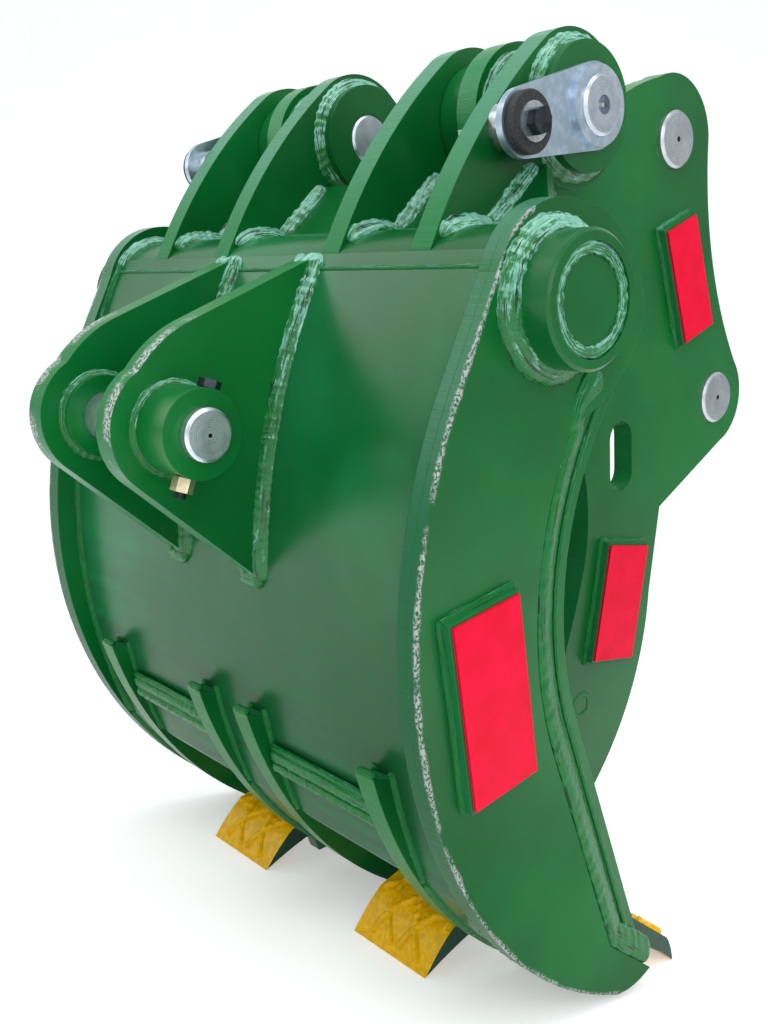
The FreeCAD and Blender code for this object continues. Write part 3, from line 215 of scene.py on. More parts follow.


# %% [markdown]
# Machine paint is a thick semi-gloss enamel. It is not one green: it pools darker in places,
# dries with a faint orange-peel skin, and over a flame-cut edge it keeps the fine ridges of the
# cut, which run straight through the plate. Those ridges are noise that is squeezed along the
# edge and stretched along X, shown only where the surface doesn't face along X. On those narrow
# faces the sky's light is painted in: lighter the more a face turns up, with painted shade the
# more it turns down. Thick paint also rounds sharp corners; a bevel node bends the light there
# and leaves the CAD mesh as it is.

# %% Greens
GREEN_DEEP = (0.0004, 0.098, 0.016, 1.0)
GREEN = (0.0015, 0.165, 0.028, 1.0)
GREEN_SHELL = (0.009, 0.180, 0.056, 1.0)
GREEN_DUST = (0.016, 0.074, 0.032, 1.0)
# Edge greens: painted shade for narrow faces turned down, painted sky light for those turned up.
GREEN_UNDER_SHADE = (0.008, 0.105, 0.034, 1.0)
GREEN_RIM_SKY_LIT = (0.038, 0.195, 0.098, 1.0)
GREEN_EDGE = (0.016, 0.185, 0.060, 1.0)
GREEN_SKY = (0.055, 0.250, 0.135, 1.0)
GREEN_TOP = (0.012, 0.200, 0.052, 1.0)
# Painted sky highlight, almost white.
GREEN_SKY_HIGHLIGHT = (0.620, 0.880, 0.780, 1.0)
# Painted sky reflection on the beads, a light and a dim tone.
MINT_REFLECTION = (0.290, 0.600, 0.480, 1.0)
MINT_REFLECTION_DIM = (0.130, 0.400, 0.290, 1.0)
BARE = (0.520, 0.530, 0.530, 1.0)

PLATE_GLOSS = 0.34
DULL_GLOSS = 0.10


def green_body(finish, low, high):
    """Two greens mixed by a slow cloud, with a little fine mottle."""
    cloud = finish.ramp(finish.noise(3.2, 3.0), 0.32, 0.68)
    colour = finish.mix(cloud, low, high)
    mottle = finish.ramp(finish.noise(46.0, 4.0), 0.45, 0.75)
    return finish.mix(finish.times(mottle, 0.12), colour, GREEN_DUST)


def cut_edge(finish, colour, skin, low, high):
    """Painted shade and sky light, low to high the more it faces the sky, with the flame cut's
    ridges.

    It covers every surface that doesn't face along X.
    """
    across, _, up = finish.parts(finish.facing)
    edge = finish.rest(finish.ramp(finish.math("ABSOLUTE", across), 0.35, 0.75))
    # Painted shade on narrow faces turned down, painted sky light on those turned up.
    tone = finish.mix(finish.ramp(up, -0.5, 0.9), low, high)
    ridges = finish.noise(1.0, 4.0, finish.stretch((14.0, 420.0, 420.0)), 0.6)
    worn = finish.ramp(finish.noise(9.0, 2.0), 0.42, 0.62)
    dark = finish.times(finish.ramp(ridges, 0.46, 0.66), finish.times(worn, 0.6))
    tone = finish.mix(dark, tone, GREEN)
    height = finish.times(edge, ridges)
    return finish.mix(edge, colour, tone), finish.bump(height, 0.0008, 0.7, skin), edge


def enamel(name, low=GREEN_DEEP, high=GREEN, roughness=0.30):
    """Enamel with an orange-peel skin, rounded off over sharp corners.

    Returns the finish, its colour and its skin.
    """
    finish = Finish(name, Roughness=roughness, IOR=1.5, Specular_IOR_Level=PLATE_GLOSS)
    colour = green_body(finish, low, high)
    corners = finish.add("Bevel", 0, {"Radius": 0.0014}, samples=4)
    skin = finish.bump(finish.noise(230.0, 2.0), 0.00025, 0.35, corners)
    return finish, colour, skin


def plate_paint(name, low, high):
    """Flat plate with flame-cut edges in the tones low to high."""
    finish, colour, skin = enamel(name)
    colour, skin, _ = cut_edge(finish, colour, skin, low, high)
    finish.set(Base_Color=colour, Normal=skin)
    return finish.material


def lug_paint(name, low, high):
    """Plate enamel; painted shade makes its narrow faces darker, and duller, from the hinge to the
    tube.
    """
    finish, colour, skin = enamel(name)
    # Painted shade: below the hinge the narrow faces lose their painted sky light.
    bright = finish.ramp(finish.parts(finish.place)[2], -0.22, -0.07)
    colour, skin, edge = cut_edge(finish, colour, skin, finish.mix(bright, GREEN, low),
                                  finish.mix(bright, GREEN_EDGE, high))
    dull = finish.times(edge, finish.rest(bright))
    gloss = finish.math("SUBTRACT", PLATE_GLOSS, finish.times(dull, 0.20))
    finish.set(Base_Color=colour, Normal=skin, Specular_IOR_Level=gloss)
    return finish.material


def mount_paint():
    """Plate enamel; the upper front edge between the lugs is a painted sky highlight, almost white.
    """
    finish, colour, skin = enamel("mount_enamel")
    _, y, z = finish.parts(finish.place)
    # Painted highlight: a band of the front edge between the lugs, high up, is near white.
    highlight_mask = finish.times(finish.ramp(z, -0.29, -0.25), finish.math("LESS_THAN", z, -0.088))
    highlight_mask = finish.times(highlight_mask, finish.math("LESS_THAN", y, -0.18))
    tone = finish.mix(highlight_mask, GREEN_TOP, GREEN_SKY_HIGHLIGHT)
    colour, skin, _ = cut_edge(finish, colour, skin, tone, tone)
    finish.set(Base_Color=colour, Normal=skin)
    return finish.material


def smooth_paint():
    """Rolled or sheared plate whose narrow faces show no flame-cut ridges."""
    finish, colour, skin = enamel("smooth_enamel")
    finish.set(Base_Color=colour, Normal=skin)
    return finish.material


# %% [markdown]
# The cheeks and the ears have lost paint where straps and forks rub: along the outer rim of the
# crescent and down the front of the ears. The rim is where the distance from the crescent's
# centre reaches its radius, so the shader measures that distance and breaks it up with noise.

# %% Chipped plates
JAW_RADIUS = 0.535
JAW_TURN_HEIGHT = -0.384
RIM_LINE = (-0.971, 0.240)
RIM_LINE_REACH = 0.3937
HEAD = (-0.375, -0.265)
HEAD_REACH = (0.096, 0.085)
CHEEK_FACE = 0.361
EAR_FACE = 0.089
EAR_FRONT = -0.590
EAR_PATCH_HEIGHT = -0.410


def chipped_plate(name, rim_mask, low, high, shine):
    """Plate enamel whose rim shows speckled bare metal; rim_mask gives the worn band.

    The narrow faces lose their gloss below the heights of shine, the broad ones near the teeth.
    """
    finish, colour, skin = enamel(name)
    colour, skin, edge = cut_edge(finish, colour, skin, low, high)
    band = rim_mask(finish, edge)
    flakes = finish.ramp(finish.noise(330.0, 4.0, None, 0.7), 0.44, 0.54)
    broken = finish.ramp(finish.noise(24.0, 3.0), 0.36, 0.50)
    bare = finish.times(finish.times(band, flakes), broken)
    colour = finish.mix(bare, colour, BARE)
    chips = finish.bump(finish.rest(bare), 0.0006, 0.6, skin)
    z = finish.parts(finish.place)[2]
    shown = finish.pick(edge, finish.ramp(z, *shine), finish.ramp(z, -0.85, -0.60))
    gloss = finish.plus(finish.times(shown, PLATE_GLOSS - DULL_GLOSS), DULL_GLOSS)
    finish.set(Base_Color=colour, Normal=chips, Specular_IOR_Level=gloss)
    return finish.material


def crescent_rim(finish, edge):
    """1 near the corner between the cheek's outer face and the crescent's rim.

    The rim is a circle below the jaw's turn, then a straight line, then an oval head.
    """
    x, y, z = finish.parts(finish.place)
    inward = finish.math("SUBTRACT", CHEEK_FACE, finish.math("ABSOLUTE", x))
    circle = finish.math("SUBTRACT", JAW_RADIUS, finish.radius_about(JAW))
    slope = finish.plus(finish.times(y, RIM_LINE[0]), finish.times(z, RIM_LINE[1]))
    line = finish.math("SUBTRACT", RIM_LINE_REACH, slope)
    across = finish.math("DIVIDE", finish.math("SUBTRACT", y, HEAD[0]), HEAD_REACH[0])
    along = finish.math("DIVIDE", finish.math("SUBTRACT", z, HEAD[1]), HEAD_REACH[1])
    squares = finish.plus(finish.math("POWER", across, 2.0), finish.math("POWER", along, 2.0))
    oval = finish.times(finish.rest(finish.math("SQRT", squares)), HEAD_REACH[0])
    depth = finish.pick(finish.math("LESS_THAN", z, JAW_TURN_HEIGHT), circle, line)
    depth = finish.pick(finish.math("GREATER_THAN", z, HEAD[1]), oval, depth)
    ragged = finish.plus(finish.plus(finish.math("ABSOLUTE", depth), inward),
                         finish.times(finish.noise(16.0, 4.0, None, 0.7), 0.013))
    front = finish.math("LESS_THAN", y, HEAD[0] - 0.062)
    lower = finish.math("LESS_THAN", z, HEAD[1])
    near = finish.rest(finish.ramp(ragged, 0.0075, 0.0115))
    return finish.times(near, finish.math("MAXIMUM", front, lower))


def ear_rim(finish, edge):
    """1 near the outer corner of the ears' front edges, in one long patch beside the pin."""
    x, y, z = finish.parts(finish.place)
    inward = finish.math("ABSOLUTE", finish.math("SUBTRACT", EAR_FACE, finish.math("ABSOLUTE", x)))
    ragged = finish.plus(inward, finish.times(finish.noise(30.0, 4.0, None, 0.7), 0.016))
    corner = finish.rest(finish.ramp(ragged, 0.018, 0.026))
    front = finish.math("LESS_THAN", y, EAR_FRONT)
    away = finish.math("ABSOLUTE", finish.math("SUBTRACT", z, EAR_PATCH_HEIGHT))
    patch = finish.rest(finish.ramp(away, 0.060, 0.095))
    return finish.times(finish.times(edge, corner), finish.times(front, patch))


# %% [markdown]
# The rolled shells and the tube are smooth and take the sky's light in long soft shapes. Low on
# the front shell the paint is dusty and duller. Its fine streaks are noise stretched along X,
# which keeps them level on any bend. Turned pieces show lathe rings, which read X alone.

# %% Rolled and turned pieces
def shell_paint():
    """Smooth enamel that grows dusty and dull towards the teeth."""
    finish, colour, skin = enamel("shell_enamel", GREEN_DEEP, GREEN_SHELL, 0.27)
    z = finish.parts(finish.place)[2]
    low = finish.rest(finish.ramp(z, -0.86, -0.46))
    streaks = finish.noise(1.0, 4.0, finish.stretch((2.5, 60.0, 60.0)), 0.6)
    dust = finish.times(low, finish.ramp(streaks, 0.25, 0.85))
    colour = finish.mix(dust, colour, GREEN_DUST)
    gloss = finish.plus(finish.times(finish.rest(low), 0.30), DULL_GLOSS)
    finish.set(Base_Color=colour, Normal=skin, Specular_IOR_Level=gloss)
    return finish.material


def turned_paint():
    """Enamel over faint lathe rings."""
    finish, colour, skin = enamel("boss_enamel", GREEN_DEEP, GREEN, 0.30)
    x = finish.parts(finish.place)[0]
    rings = finish.add("TexNoise", 0, {"W": x, "Scale": 900.0, "Detail": 1.0},
                       noise_dimensions="1D")
    finish.set(Base_Color=colour, Normal=finish.bump(rings, 0.0002, 0.3, skin))
    return finish.material


# %% [markdown]
# A weld bead under fresh paint is glossy and streaked along its seam. Its sky reflection is
# painted: what faces the sky, and what sits higher, is painted pale mint, what faces the ground
# stays dark, and thin lines of painted shade part the passes. Streaks in plain coordinates
# would cut straight across a curved bead. So they read the point attribute "seam", which the
# bead maker writes: run in metres, place across the bead, and a number that tells beads apart.

# %% Bead paint
# Painted shade for the thin creases between the passes.
CREASE_SHADE = (0.004, 0.034, 0.014, 1.0)


def along_seam(finish, seam, scale, detail, roughness=0.55):
    """Noise in the bead's own run, place across and number, each scaled."""
    return finish.noise(1.0, detail, finish.add("Mapping", 0, {0: seam, 3: scale}), roughness)


def bead_paint(name, base, pale, bright, low, high, roughness=0.22, gloss=0.5):
    """Painted sky reflection: pale streaks on base, more with bright and from height low to high.
    """
    finish = Finish(name, Roughness=roughness, IOR=1.5, Specular_IOR_Level=gloss)
    seam = finish.add("Attribute", 1, attribute_name="seam")
    long = along_seam(finish, seam, (42.0, 3.4, 1.0), 4.0, 0.62)
    short = along_seam(finish, seam, (190.0, 9.0, 1.0), 4.0, 0.62)
    grain = finish.plus(finish.times(long, 0.62), finish.times(short, 0.38))
    # Painted sky reflection: more pale where the bead faces up and the higher it sits.
    up = finish.parts(finish.facing)[2]
    z = finish.parts(finish.place)[2]
    sky = finish.plus(finish.times(up, 0.10), finish.times(finish.ramp(z, low, high), 0.10))
    light = finish.plus(finish.plus(grain, sky), bright)
    tone = finish.ramp(along_seam(finish, seam, (40.0, 7.0, 1.0), 3.0), 0.35, 0.65)
    sky_reflection = finish.mix(tone, pale, MINT_REFLECTION_DIM)
    colour = finish.mix(finish.ramp(light, 0.56, 0.68), base, sky_reflection)
    # Painted shade: thin dark lines where the passes meet.
    crease = finish.ramp(along_seam(finish, seam, (24.0, 7.0, 3.0), 3.0, 0.5), 0.60, 0.63)
    colour = finish.mix(crease, colour, CREASE_SHADE)
    finish.set(Base_Color=colour, Normal=finish.bump(grain, 0.0022, 0.8))
    return finish.material


# %% [markdown]
# Steel that moves or is greased stays unpainted. A turned face shows rings about its centre: a
# one-dimensional noise that reads the distance from the pin's axis, so every ring is closed.

# %% Metals
STEEL_SHADE = (0.36, 0.41, 0.48, 1.0)
STEEL_GROOVE = (0.25, 0.29, 0.34, 1.0)
CENTRE_HOLE_SHADE = (0.02, 0.02, 0.02, 1.0)


def turned_steel(name, centre, tint, mark=0.0035):
    """Bright turned steel about centre; mark is the radius of the lathe's centre hole, in painted
    shade.
    """
    finish = Finish(name, Metallic=0.92, Roughness=0.30)
    reach = finish.radius_about(centre)
    rings = finish.add("TexNoise", 0, {"W": reach, "Scale": 900.0, "Detail": 2.0},
                       noise_dimensions="1D")
    cloud = finish.ramp(finish.noise(60.0, 3.0), 0.35, 0.70)
    colour = finish.mix(finish.times(cloud, 0.5), (*tint, 1.0), STEEL_SHADE)
    groove = finish.times(finish.ramp(rings, 0.48, 0.58), 0.5)
    colour = finish.mix(groove, colour, STEEL_GROOVE)
    # Painted shade: the lathe's centre hole is painted black.
    colour = finish.mix(finish.math("LESS_THAN", reach, mark), colour, CENTRE_HOLE_SHADE)
    finish.set(Base_Color=colour, Normal=finish.bump(rings, 0.0003, 0.5))
    return finish.material


def plated(name, light, shade, roughness=0.34, metallic=0.85):
    """Plated sheet: two tones of the plating in soft clouds, with a satin grain."""
    finish = Finish(name, Metallic=metallic, Roughness=roughness)
    cloud = finish.ramp(finish.noise(70.0, 5.0, None, 0.65), 0.35, 0.68)
    finish.set(Base_Color=finish.mix(cloud, (*shade, 1.0), (*light, 1.0)),
               Normal=finish.bump(finish.noise(420.0, 2.0), 0.0002, 0.4))
    return finish.material


def rubber():
    """Dull black rubber with a fine grain."""
    finish = Finish("ring_rubber", Roughness=0.62)
    grain = finish.noise(320.0, 3.0)
    colour = finish.mix(finish.ramp(grain, 0.4, 0.7), (0.010, 0.010, 0.011, 1.0),
                        (0.030, 0.032, 0.034, 1.0))
    finish.set(Base_Color=colour, Normal=finish.bump(grain, 0.0003, 0.5))
    return finish.material


# %% [markdown]
# The teeth are dipped in yellow after the hard-facing is laid on, but their flanks keep the
# green. The border is where the surface turns to face along X: a mask by hand could show it too,
# but wouldn't follow a tooth of another shape.

# %% Tooth and panel paint
YELLOW = (0.980, 0.560, 0.0, 1.0)
YELLOW_SHADE = (0.820, 0.440, 0.0, 1.0)
FLANK_GREEN = (0.006, 0.060, 0.028, 1.0)
PANEL_RED = (0.80, 0.0, 0.026, 1.0)
PANEL_LIGHT = (0.90, 0.0, 0.040, 1.0)
PANEL_BARE = (0.50, 0.44, 0.45, 1.0)


def tooth_paint(name, flank=True):
    """Yellow in two tones; with flank, what faces along X is green."""
    finish = Finish(name, Roughness=0.27, IOR=1.5, Specular_IOR_Level=0.20)
    lumps = finish.noise(120.0, 4.0)
    colour = finish.mix(finish.ramp(lumps, 0.34, 0.66), YELLOW_SHADE, YELLOW)
    if flank:
        across = finish.math("ABSOLUTE", finish.parts(finish.facing)[0])
        ragged = finish.plus(across, finish.times(finish.noise(90.0), 0.25))
        colour = finish.mix(finish.ramp(ragged, 0.60, 0.70), colour, FLANK_GREEN)
    finish.set(Base_Color=colour, Normal=finish.bump(lumps, 0.0009, 0.6))
    return finish.material


def panel_red():
    """Plain red enamel with a few specks knocked off."""
    finish = Finish("panel_enamel_red", Roughness=0.38, IOR=1.5, Specular_IOR_Level=0.12)
    cloud = finish.ramp(finish.noise(30.0, 3.0), 0.3, 0.7)
    colour = finish.mix(cloud, PANEL_RED, PANEL_LIGHT)
    flakes = finish.times(finish.ramp(finish.noise(210.0, 4.0, None, 0.7), 0.66, 0.72),
                          finish.ramp(finish.noise(26.0, 2.0), 0.55, 0.66))
    colour = finish.mix(flakes, colour, PANEL_BARE)
    finish.set(Base_Color=colour, Normal=finish.bump(finish.noise(190.0, 3.0), 0.0004, 0.5))
    return finish.material


# %% [markdown]
# Each solid of the frame is one piece in the workshop, so it gets one finish, by its name.
# Turned pieces take the boss's paint, rolled ones the shell's, and flat plates the one with
# flame-cut edges, which is also what is left for every name that isn't listed.

# %% Finish every CAD node
# Plate, lug, crescent and ear finishes take the painted shade and sky light of their narrow faces.
PLATE = plate_paint("plate_enamel", GREEN_EDGE, GREEN_TOP)
LUG = lug_paint("lug_enamel", GREEN_EDGE, GREEN_SKY)
MOUNT = mount_paint()
CRESCENT = chipped_plate("crescent_enamel", crescent_rim, GREEN_UNDER_SHADE, GREEN_RIM_SKY_LIT, (-0.50, -0.40))
EAR = chipped_plate("ear_enamel", ear_rim, GREEN_EDGE, GREEN, (-0.30, -0.20))
ROLLED = shell_paint()
TURNED = turned_paint()
# The beads' pale streaks are painted sky reflection: mint on the beads, paler green on fillets.
BEAD = bead_paint("bead_enamel", GREEN, MINT_REFLECTION, 0.010, -0.50, -0.25)
FILLET = bead_paint("fillet_enamel", GREEN, GREEN_EDGE, -0.04, -0.60, -0.20, 0.26, 0.24)
TOOTH = tooth_paint("tooth_enamel")
FACING = tooth_paint("facing_enamel", flank=False)
SMOOTH = smooth_paint()
RED = panel_red()
FINISHES = {
    "torque_tube": ROLLED, "front_shell": ROLLED, "rear_shell": ROLLED, "rear_cross_tube": ROLLED,
    "tube_bosses": TURNED, "tube_caps": TURNED, "lug_bosses": TURNED, "ear_boss_right": TURNED,
    "ear_boss_left": TURNED, "hinge_bosses": TURNED, "hitch_collars": TURNED,
    "side_plate_right": CRESCENT, "side_plate_left": CRESCENT,
    "cheek_plate_right": CRESCENT, "cheek_plate_left": CRESCENT,
    "strut_ear_right": EAR, "strut_ear_left": EAR,
    "strut_pin": turned_steel("strut_pin_steel", STRUT, (0.74, 0.80, 0.84), 0.0022),
    "hinge_pin_right": turned_steel("hinge_pin_steel", HINGE, (0.66, 0.70, 0.76), 0.0),
    "stick_pin": turned_steel("stick_pin_steel", STICK_PIN, (0.66, 0.68, 0.70)),
    "link_pin": turned_steel("link_pin_steel", LINK_PIN, (0.66, 0.68, 0.70)),
    "keeper_plate_right": plated("flag_zinc", (0.50, 0.61, 0.71), (0.36, 0.45, 0.54)),
    "pin_collars": plated("collar_zinc", (0.60, 0.68, 0.77), (0.42, 0.50, 0.60), 0.30),
    "rubber_rings": rubber(),
    "keeper_spacers": plated("sleeve_steel", (0.62, 0.66, 0.68), (0.40, 0.43, 0.46), 0.25),
    "keeper_bolts": plated("bolt_black", (0.045, 0.055, 0.065), (0.018, 0.022, 0.026), 0.38),
    "strut_pin_nut": plated("nut_yellow_zinc", (0.70, 0.62, 0.40), (0.42, 0.38, 0.24), 0.36),
    "grease_nipples": plated("nipple_steel", (0.80, 0.82, 0.84), (0.55, 0.58, 0.60), 0.16, 1.0),
    "hinge_bushes": plated("bush_steel", (0.42, 0.41, 0.39), (0.26, 0.25, 0.24), 0.42),
    "front_panel_faces": RED, "rear_panel_faces": RED, "lug_web": SMOOTH, "bay_bars": SMOOTH,
    "rear_palm_strips": SMOOTH,
}
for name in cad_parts:
    if name.startswith("hinge_lug") or "rib" in name:
        FINISHES[name] = LUG
    if name.startswith("mount_plate"):
        FINISHES[name] = MOUNT
FINISHES["hinge_pin_left"] = FINISHES["hinge_pin_right"]
FINISHES["keeper_plate_left"] = FINISHES["keeper_plate_right"]
FINISHES["strut_pin_bolt"] = FINISHES["keeper_bolts"]
for name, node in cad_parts.items():
    finish = TOOTH if "tooth" in name else FINISHES.get(name, PLATE)
    node.data.materials.clear()
    node.data.materials.append(finish)
print("finished nodes", len(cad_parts))

# %% [markdown]
# A weld bead is metal laid into a corner. It could be painted on with a bump map, but then its
# outline would stay razor straight, so it is real geometry: a flat oval carried along the seam.
# Two or three low ridges run along its back like passes laid side by side, drifting a little; a
# faint sine gives the ripples, and slow sums of sines make the width wander.

# %% Bead maker
STEP = 0.0016
SIDES = 16
RIPPLE = 0.022
RIPPLE_PITCH = 0.0042
PASSES = 0.075
PASS_DRIFT = 0.11
ROUGH = 0.16
WAVES = 6
LONG_WAVE = 0.060
SHORT_WAVE = 0.009


def unit(v):
    return v / np.linalg.norm(v, axis=-1, keepdims=True)


def evenly(path, up, closed):
    """The path and its outward directions, taken again at equal steps."""
    if closed:
        path = np.vstack([path, path[:1]])
        up = np.vstack([up, up[:1]])
    run = np.concatenate([[0.0], np.cumsum(np.linalg.norm(np.diff(path, axis=0), axis=1))])
    count = max(6, int(run[-1] / STEP))
    at = np.linspace(0.0, run[-1], count, endpoint=not closed)
    path = np.column_stack([np.interp(at, run, path[:, k]) for k in range(3)])
    up = np.column_stack([np.interp(at, run, up[:, k]) for k in range(3)])
    return path, unit(up), at, run[-1]


def wander(at, length, turns, rng, closed):
    """A sum of slow sines along the bead; whole turns close a ring."""
    total = np.zeros((len(at), len(turns)))
    for _ in range(WAVES):
        waves = rng.uniform(1 / LONG_WAVE, 1 / SHORT_WAVE)
        if closed:
            waves = round(waves * length) / length
        spin = rng.integers(0, 3)
        start = rng.uniform(0, 2 * np.pi)
        total += np.sin(2 * np.pi * waves * at[:, None] + spin * turns[None, :] + start) / WAVES
    return total


def bead_strip(path, up, width, height, closed=False, seed=0, rough=ROUGH):
    """Rings of the bead: centre + side * width * cos + up * height * sin, times 1 + the lumps.

    Also gives, for every point, its run along the seam, its place across it and the bead's number.
    """
    rng = np.random.default_rng(seed)
    path, up, at, length = evenly(np.asarray(path, float), np.asarray(up, float), closed)
    if closed:
        along = np.roll(path, -1, axis=0) - np.roll(path, 1, axis=0)
    else:
        along = np.gradient(path, axis=0)
    side = unit(np.cross(unit(along), up))
    turns = np.linspace(0, 2 * np.pi, SIDES, endpoint=False)
    coins = max(1, round(length / RIPPLE_PITCH)) / length
    lag = 0.9 * np.cos(turns)[None, :] ** 2
    ripple = RIPPLE * np.sin(2 * np.pi * coins * at[:, None] - np.pi * lag)
    bows = max(1, round(length / PASS_DRIFT)) / length
    drift = 0.8 * np.sin(2 * np.pi * bows * at + seed)
    passes = PASSES * np.cos(5.0 * turns[None, :] + drift[:, None])
    grow = 1.0 + ripple + passes + rough * wander(at, length, turns, rng, closed)
    if not closed:
        ends = np.minimum(at, length - at) / max(width, 1e-6)
        grow *= np.sqrt(np.clip(ends * (2 - np.clip(ends, 0, 1)), 0.02, 1.0))[:, None]
    across = (width * np.cos(turns))[None, :, None] * side[:, None, :]
    rise = (height * np.sin(turns))[None, :, None] * up[:, None, :]
    points = path[:, None, :] + grow[:, :, None] * (across + rise)
    number = 7.3 * (seed % 97)
    place = np.broadcast_arrays(at[:, None], np.cos(turns)[None, :], number)
    return points, np.stack(place, axis=-1), closed


def bead_piece(name, body, strips, material):
    """One object that holds several beads; each open bead gets a cap at both ends."""
    points, places, quads, caps, base = [], [], [], [], 0
    for rings, place, closed in strips:
        rows = len(rings)
        points.append(rings.reshape(-1, 3))
        places.append(place.reshape(-1, 3))
        quads.append(grid_faces(rows, SIDES, True, closed)[:, ::-1] + base)
        if not closed:
            first = np.arange(SIDES)
            caps.append(np.stack([first, first[::-1] + (rows - 1) * SIDES]) + base)
        base += rows * SIDES
    faces = [np.concatenate(quads)]
    if caps:
        faces.append(np.concatenate(caps))
    piece = mesh_piece(name, np.concatenate(points), faces, material)
    seam = piece.data.attributes.new("seam", "FLOAT_VECTOR", "POINT")
    seam.data.foreach_set("vector", np.concatenate(places).astype(np.float32).ravel())
    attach(piece, body)
    print(name, "faces", sum(len(f) for f in faces))


# %% [markdown]
# Seams are named in the side view, as (y, z) in millimetres, with the plate's place along X.
# A bead in a corner faces both ways at once: half away from the plate it lies on, half away
# from the plate that stands on it.

# %% Seam helpers
def arc(centre, radius, start, end, x):
    """A run round a circle in the side view, at X = x."""
    turn = np.radians(np.linspace(start, end, max(12, int(abs(end - start)))))
    if abs(end - start) == 360:
        turn = turn[:-1]
    return np.column_stack([np.full(len(turn), x), centre[0] + radius * np.cos(turn),
                            centre[1] + radius * np.sin(turn)]) * MM


def straight(p, q, x, x_end=None):
    """A straight seam from p to q in the side view."""
    share = np.linspace(0, 1, 12)[:, None]
    first = np.array([x, p[0], p[1]], float)
    last = np.array([x if x_end is None else x_end, q[0], q[1]], float)
    return (first + share * (last - first)) * MM


def through(p, q, r, x):
    """A bow from p to r that passes q at its middle: a quadratic curve."""
    s = np.linspace(0, 1, 40)[:, None]
    p, q, r = np.array(p, float), np.array(q, float), np.array(r, float)
    pull = 2 * q - (p + r) / 2
    curve = (1 - s) ** 2 * p + 2 * s * (1 - s) * pull + s ** 2 * r
    return np.column_stack([np.full(len(s), x), curve]) * MM


def from_axis(path, centre, x_part, outward=1.0):
    """Directions away from (or towards) an axis along X, leaning by x_part along X."""
    arm = unit(path[:, 1:] - np.array(centre) * MM) * outward
    return unit(np.column_stack([np.full(len(path), x_part), arm]))


def facing(path, direction):
    """The same direction at every point of path."""
    return np.tile(unit(np.array(direction, float)), (len(path), 1))


# %% [markdown]
# Most seams of the grapple are either part of a circle about one of its axes or straight lines
# along X. The two helpers below lay a bead on such a seam in one call. LEAN is the share of its
# direction that a corner bead on a plate takes along X.

# %% Two kinds of seam
RING = (0, 360)
LEAN = 0.8
BOTH_SIDES = (1, -1)


def arc_bead(centre, radius, span, x, lean, size, seed, outward=1.0, rough=ROUGH):
    """A bead round a circle in the side view, at X = x; RING as span closes it."""
    seam = arc(centre, radius, *span, x)
    ups = from_axis(seam, centre, lean, outward)
    return bead_strip(seam, ups, *size, closed=span == RING, seed=seed, rough=rough)


def level_bead(place, low, high, direction, size, seed, rough=ROUGH):
    """A straight bead along X from low to high, at place in the side view."""
    seam = straight(place, place, low, high)
    return bead_strip(seam, facing(seam, direction), *size, seed=seed, rough=rough)


# %% [markdown]
# The hinge lugs stand on the torque tube. Their roots carry the whole grab force, so their beads
# are among the widest of the machine: over the tube on both faces of each lug, and up both faces
# of the leaning web plates between them. The bosses get closed rings, with whole numbers of
# waves in their length, so that no ring shows where it starts.

# %% Beads of the hinge lugs
TUBE = (-392.0, -274.0)
WEB_FOOT = (-381, -205)
WEB_SEAMS = ((WEB_FOOT, (-326, -126), (-0.82, 0.57)),
             ((-364, -210), (-313, -135), (0.82, -0.57)))


def lug_beads():
    strips = []
    seed = 10
    for side in BOTH_SIDES:
        for x, out in ((89, -1), (117, 1), (225, -1), (253, 1)):
            seed += 3
            strips.append(arc_bead(TUBE, 70, (36, 137), side * x, side * out * LEAN,
                                   (0.0140, 0.0105), seed))
            for p, q, lean in WEB_SEAMS:
                seam = straight(p, q, side * x)
                strips.append(bead_strip(seam, facing(seam, (side * out, *lean)),
                                         0.0170, 0.0092, seed=seed + 1))
        strips.append(level_bead(WEB_FOOT, side * 256, side * 331, (0, -0.99, -0.1),
                                 (0.0085, 0.0060), seed + 4))
        strips.append(arc_bead(TUBE, 70, (5, 162), side * 336, -side * LEAN,
                               (0.0095, 0.0070), seed + 2))
    bead_piece("lug_root_beads", "front_jaw", strips, BEAD)


def boss_beads():
    strips = []
    for side in BOTH_SIDES:
        for x, out, seed in ((253, 1, 3), (89, -1, 4)):
            strips.append(arc_bead(HINGE, 65.5, RING, side * x, side * out,
                                   (0.0130, 0.0080), seed))
        strips.append(arc_bead(TUBE, 64.5, RING, side * 361, side * 0.9,
                               (0.0165, 0.0120), 5, rough=0.14))
        cap = arc(TUBE, 46.5, *RING, side * 402.3)
        strips.append(bead_strip(cap, facing(cap, (side, 0, 0)), 0.0068, 0.0025,
                                 closed=True, seed=6, rough=0.3))
    bead_piece("boss_root_beads", "front_jaw", strips, BEAD)


lug_beads()
boss_beads()


# %% [markdown]
# Each strut ear is welded down both faces where it stands on the shell. The bead runs down from
# the tube in one pass, so it is one long arc of the shell's own circle, and a short thick bead
# closes it under the ear's lower point.

# %% Beads of the strut ears
SHELL_CENTRE = (234.5, -449.8)
SHELL_RADIUS = 721.2


def ear_beads():
    strips = []
    for side in BOTH_SIDES:
        for x, out, seed in ((61, -1, 41), (89, 1, 42)):
            strips.append(arc_bead(SHELL_CENTRE, SHELL_RADIUS, (163.1, 191.4), side * x,
                                   side * out * LEAN, (0.0170, 0.0090), seed, rough=0.14))
        strips.append(level_bead((-474, -591), side * 57, side * 93, (0, -0.9, -0.43),
                                 (0.0105, 0.0085), 47))
        for x, out, seed in ((89, 1, 43), (61, -1, 44)):
            strips.append(arc_bead(STRUT, 44, RING, side * x, side * out,
                                   (0.0062, 0.0050), seed))
    bead_piece("ear_root_beads", "front_jaw", strips, BEAD)


ear_beads()


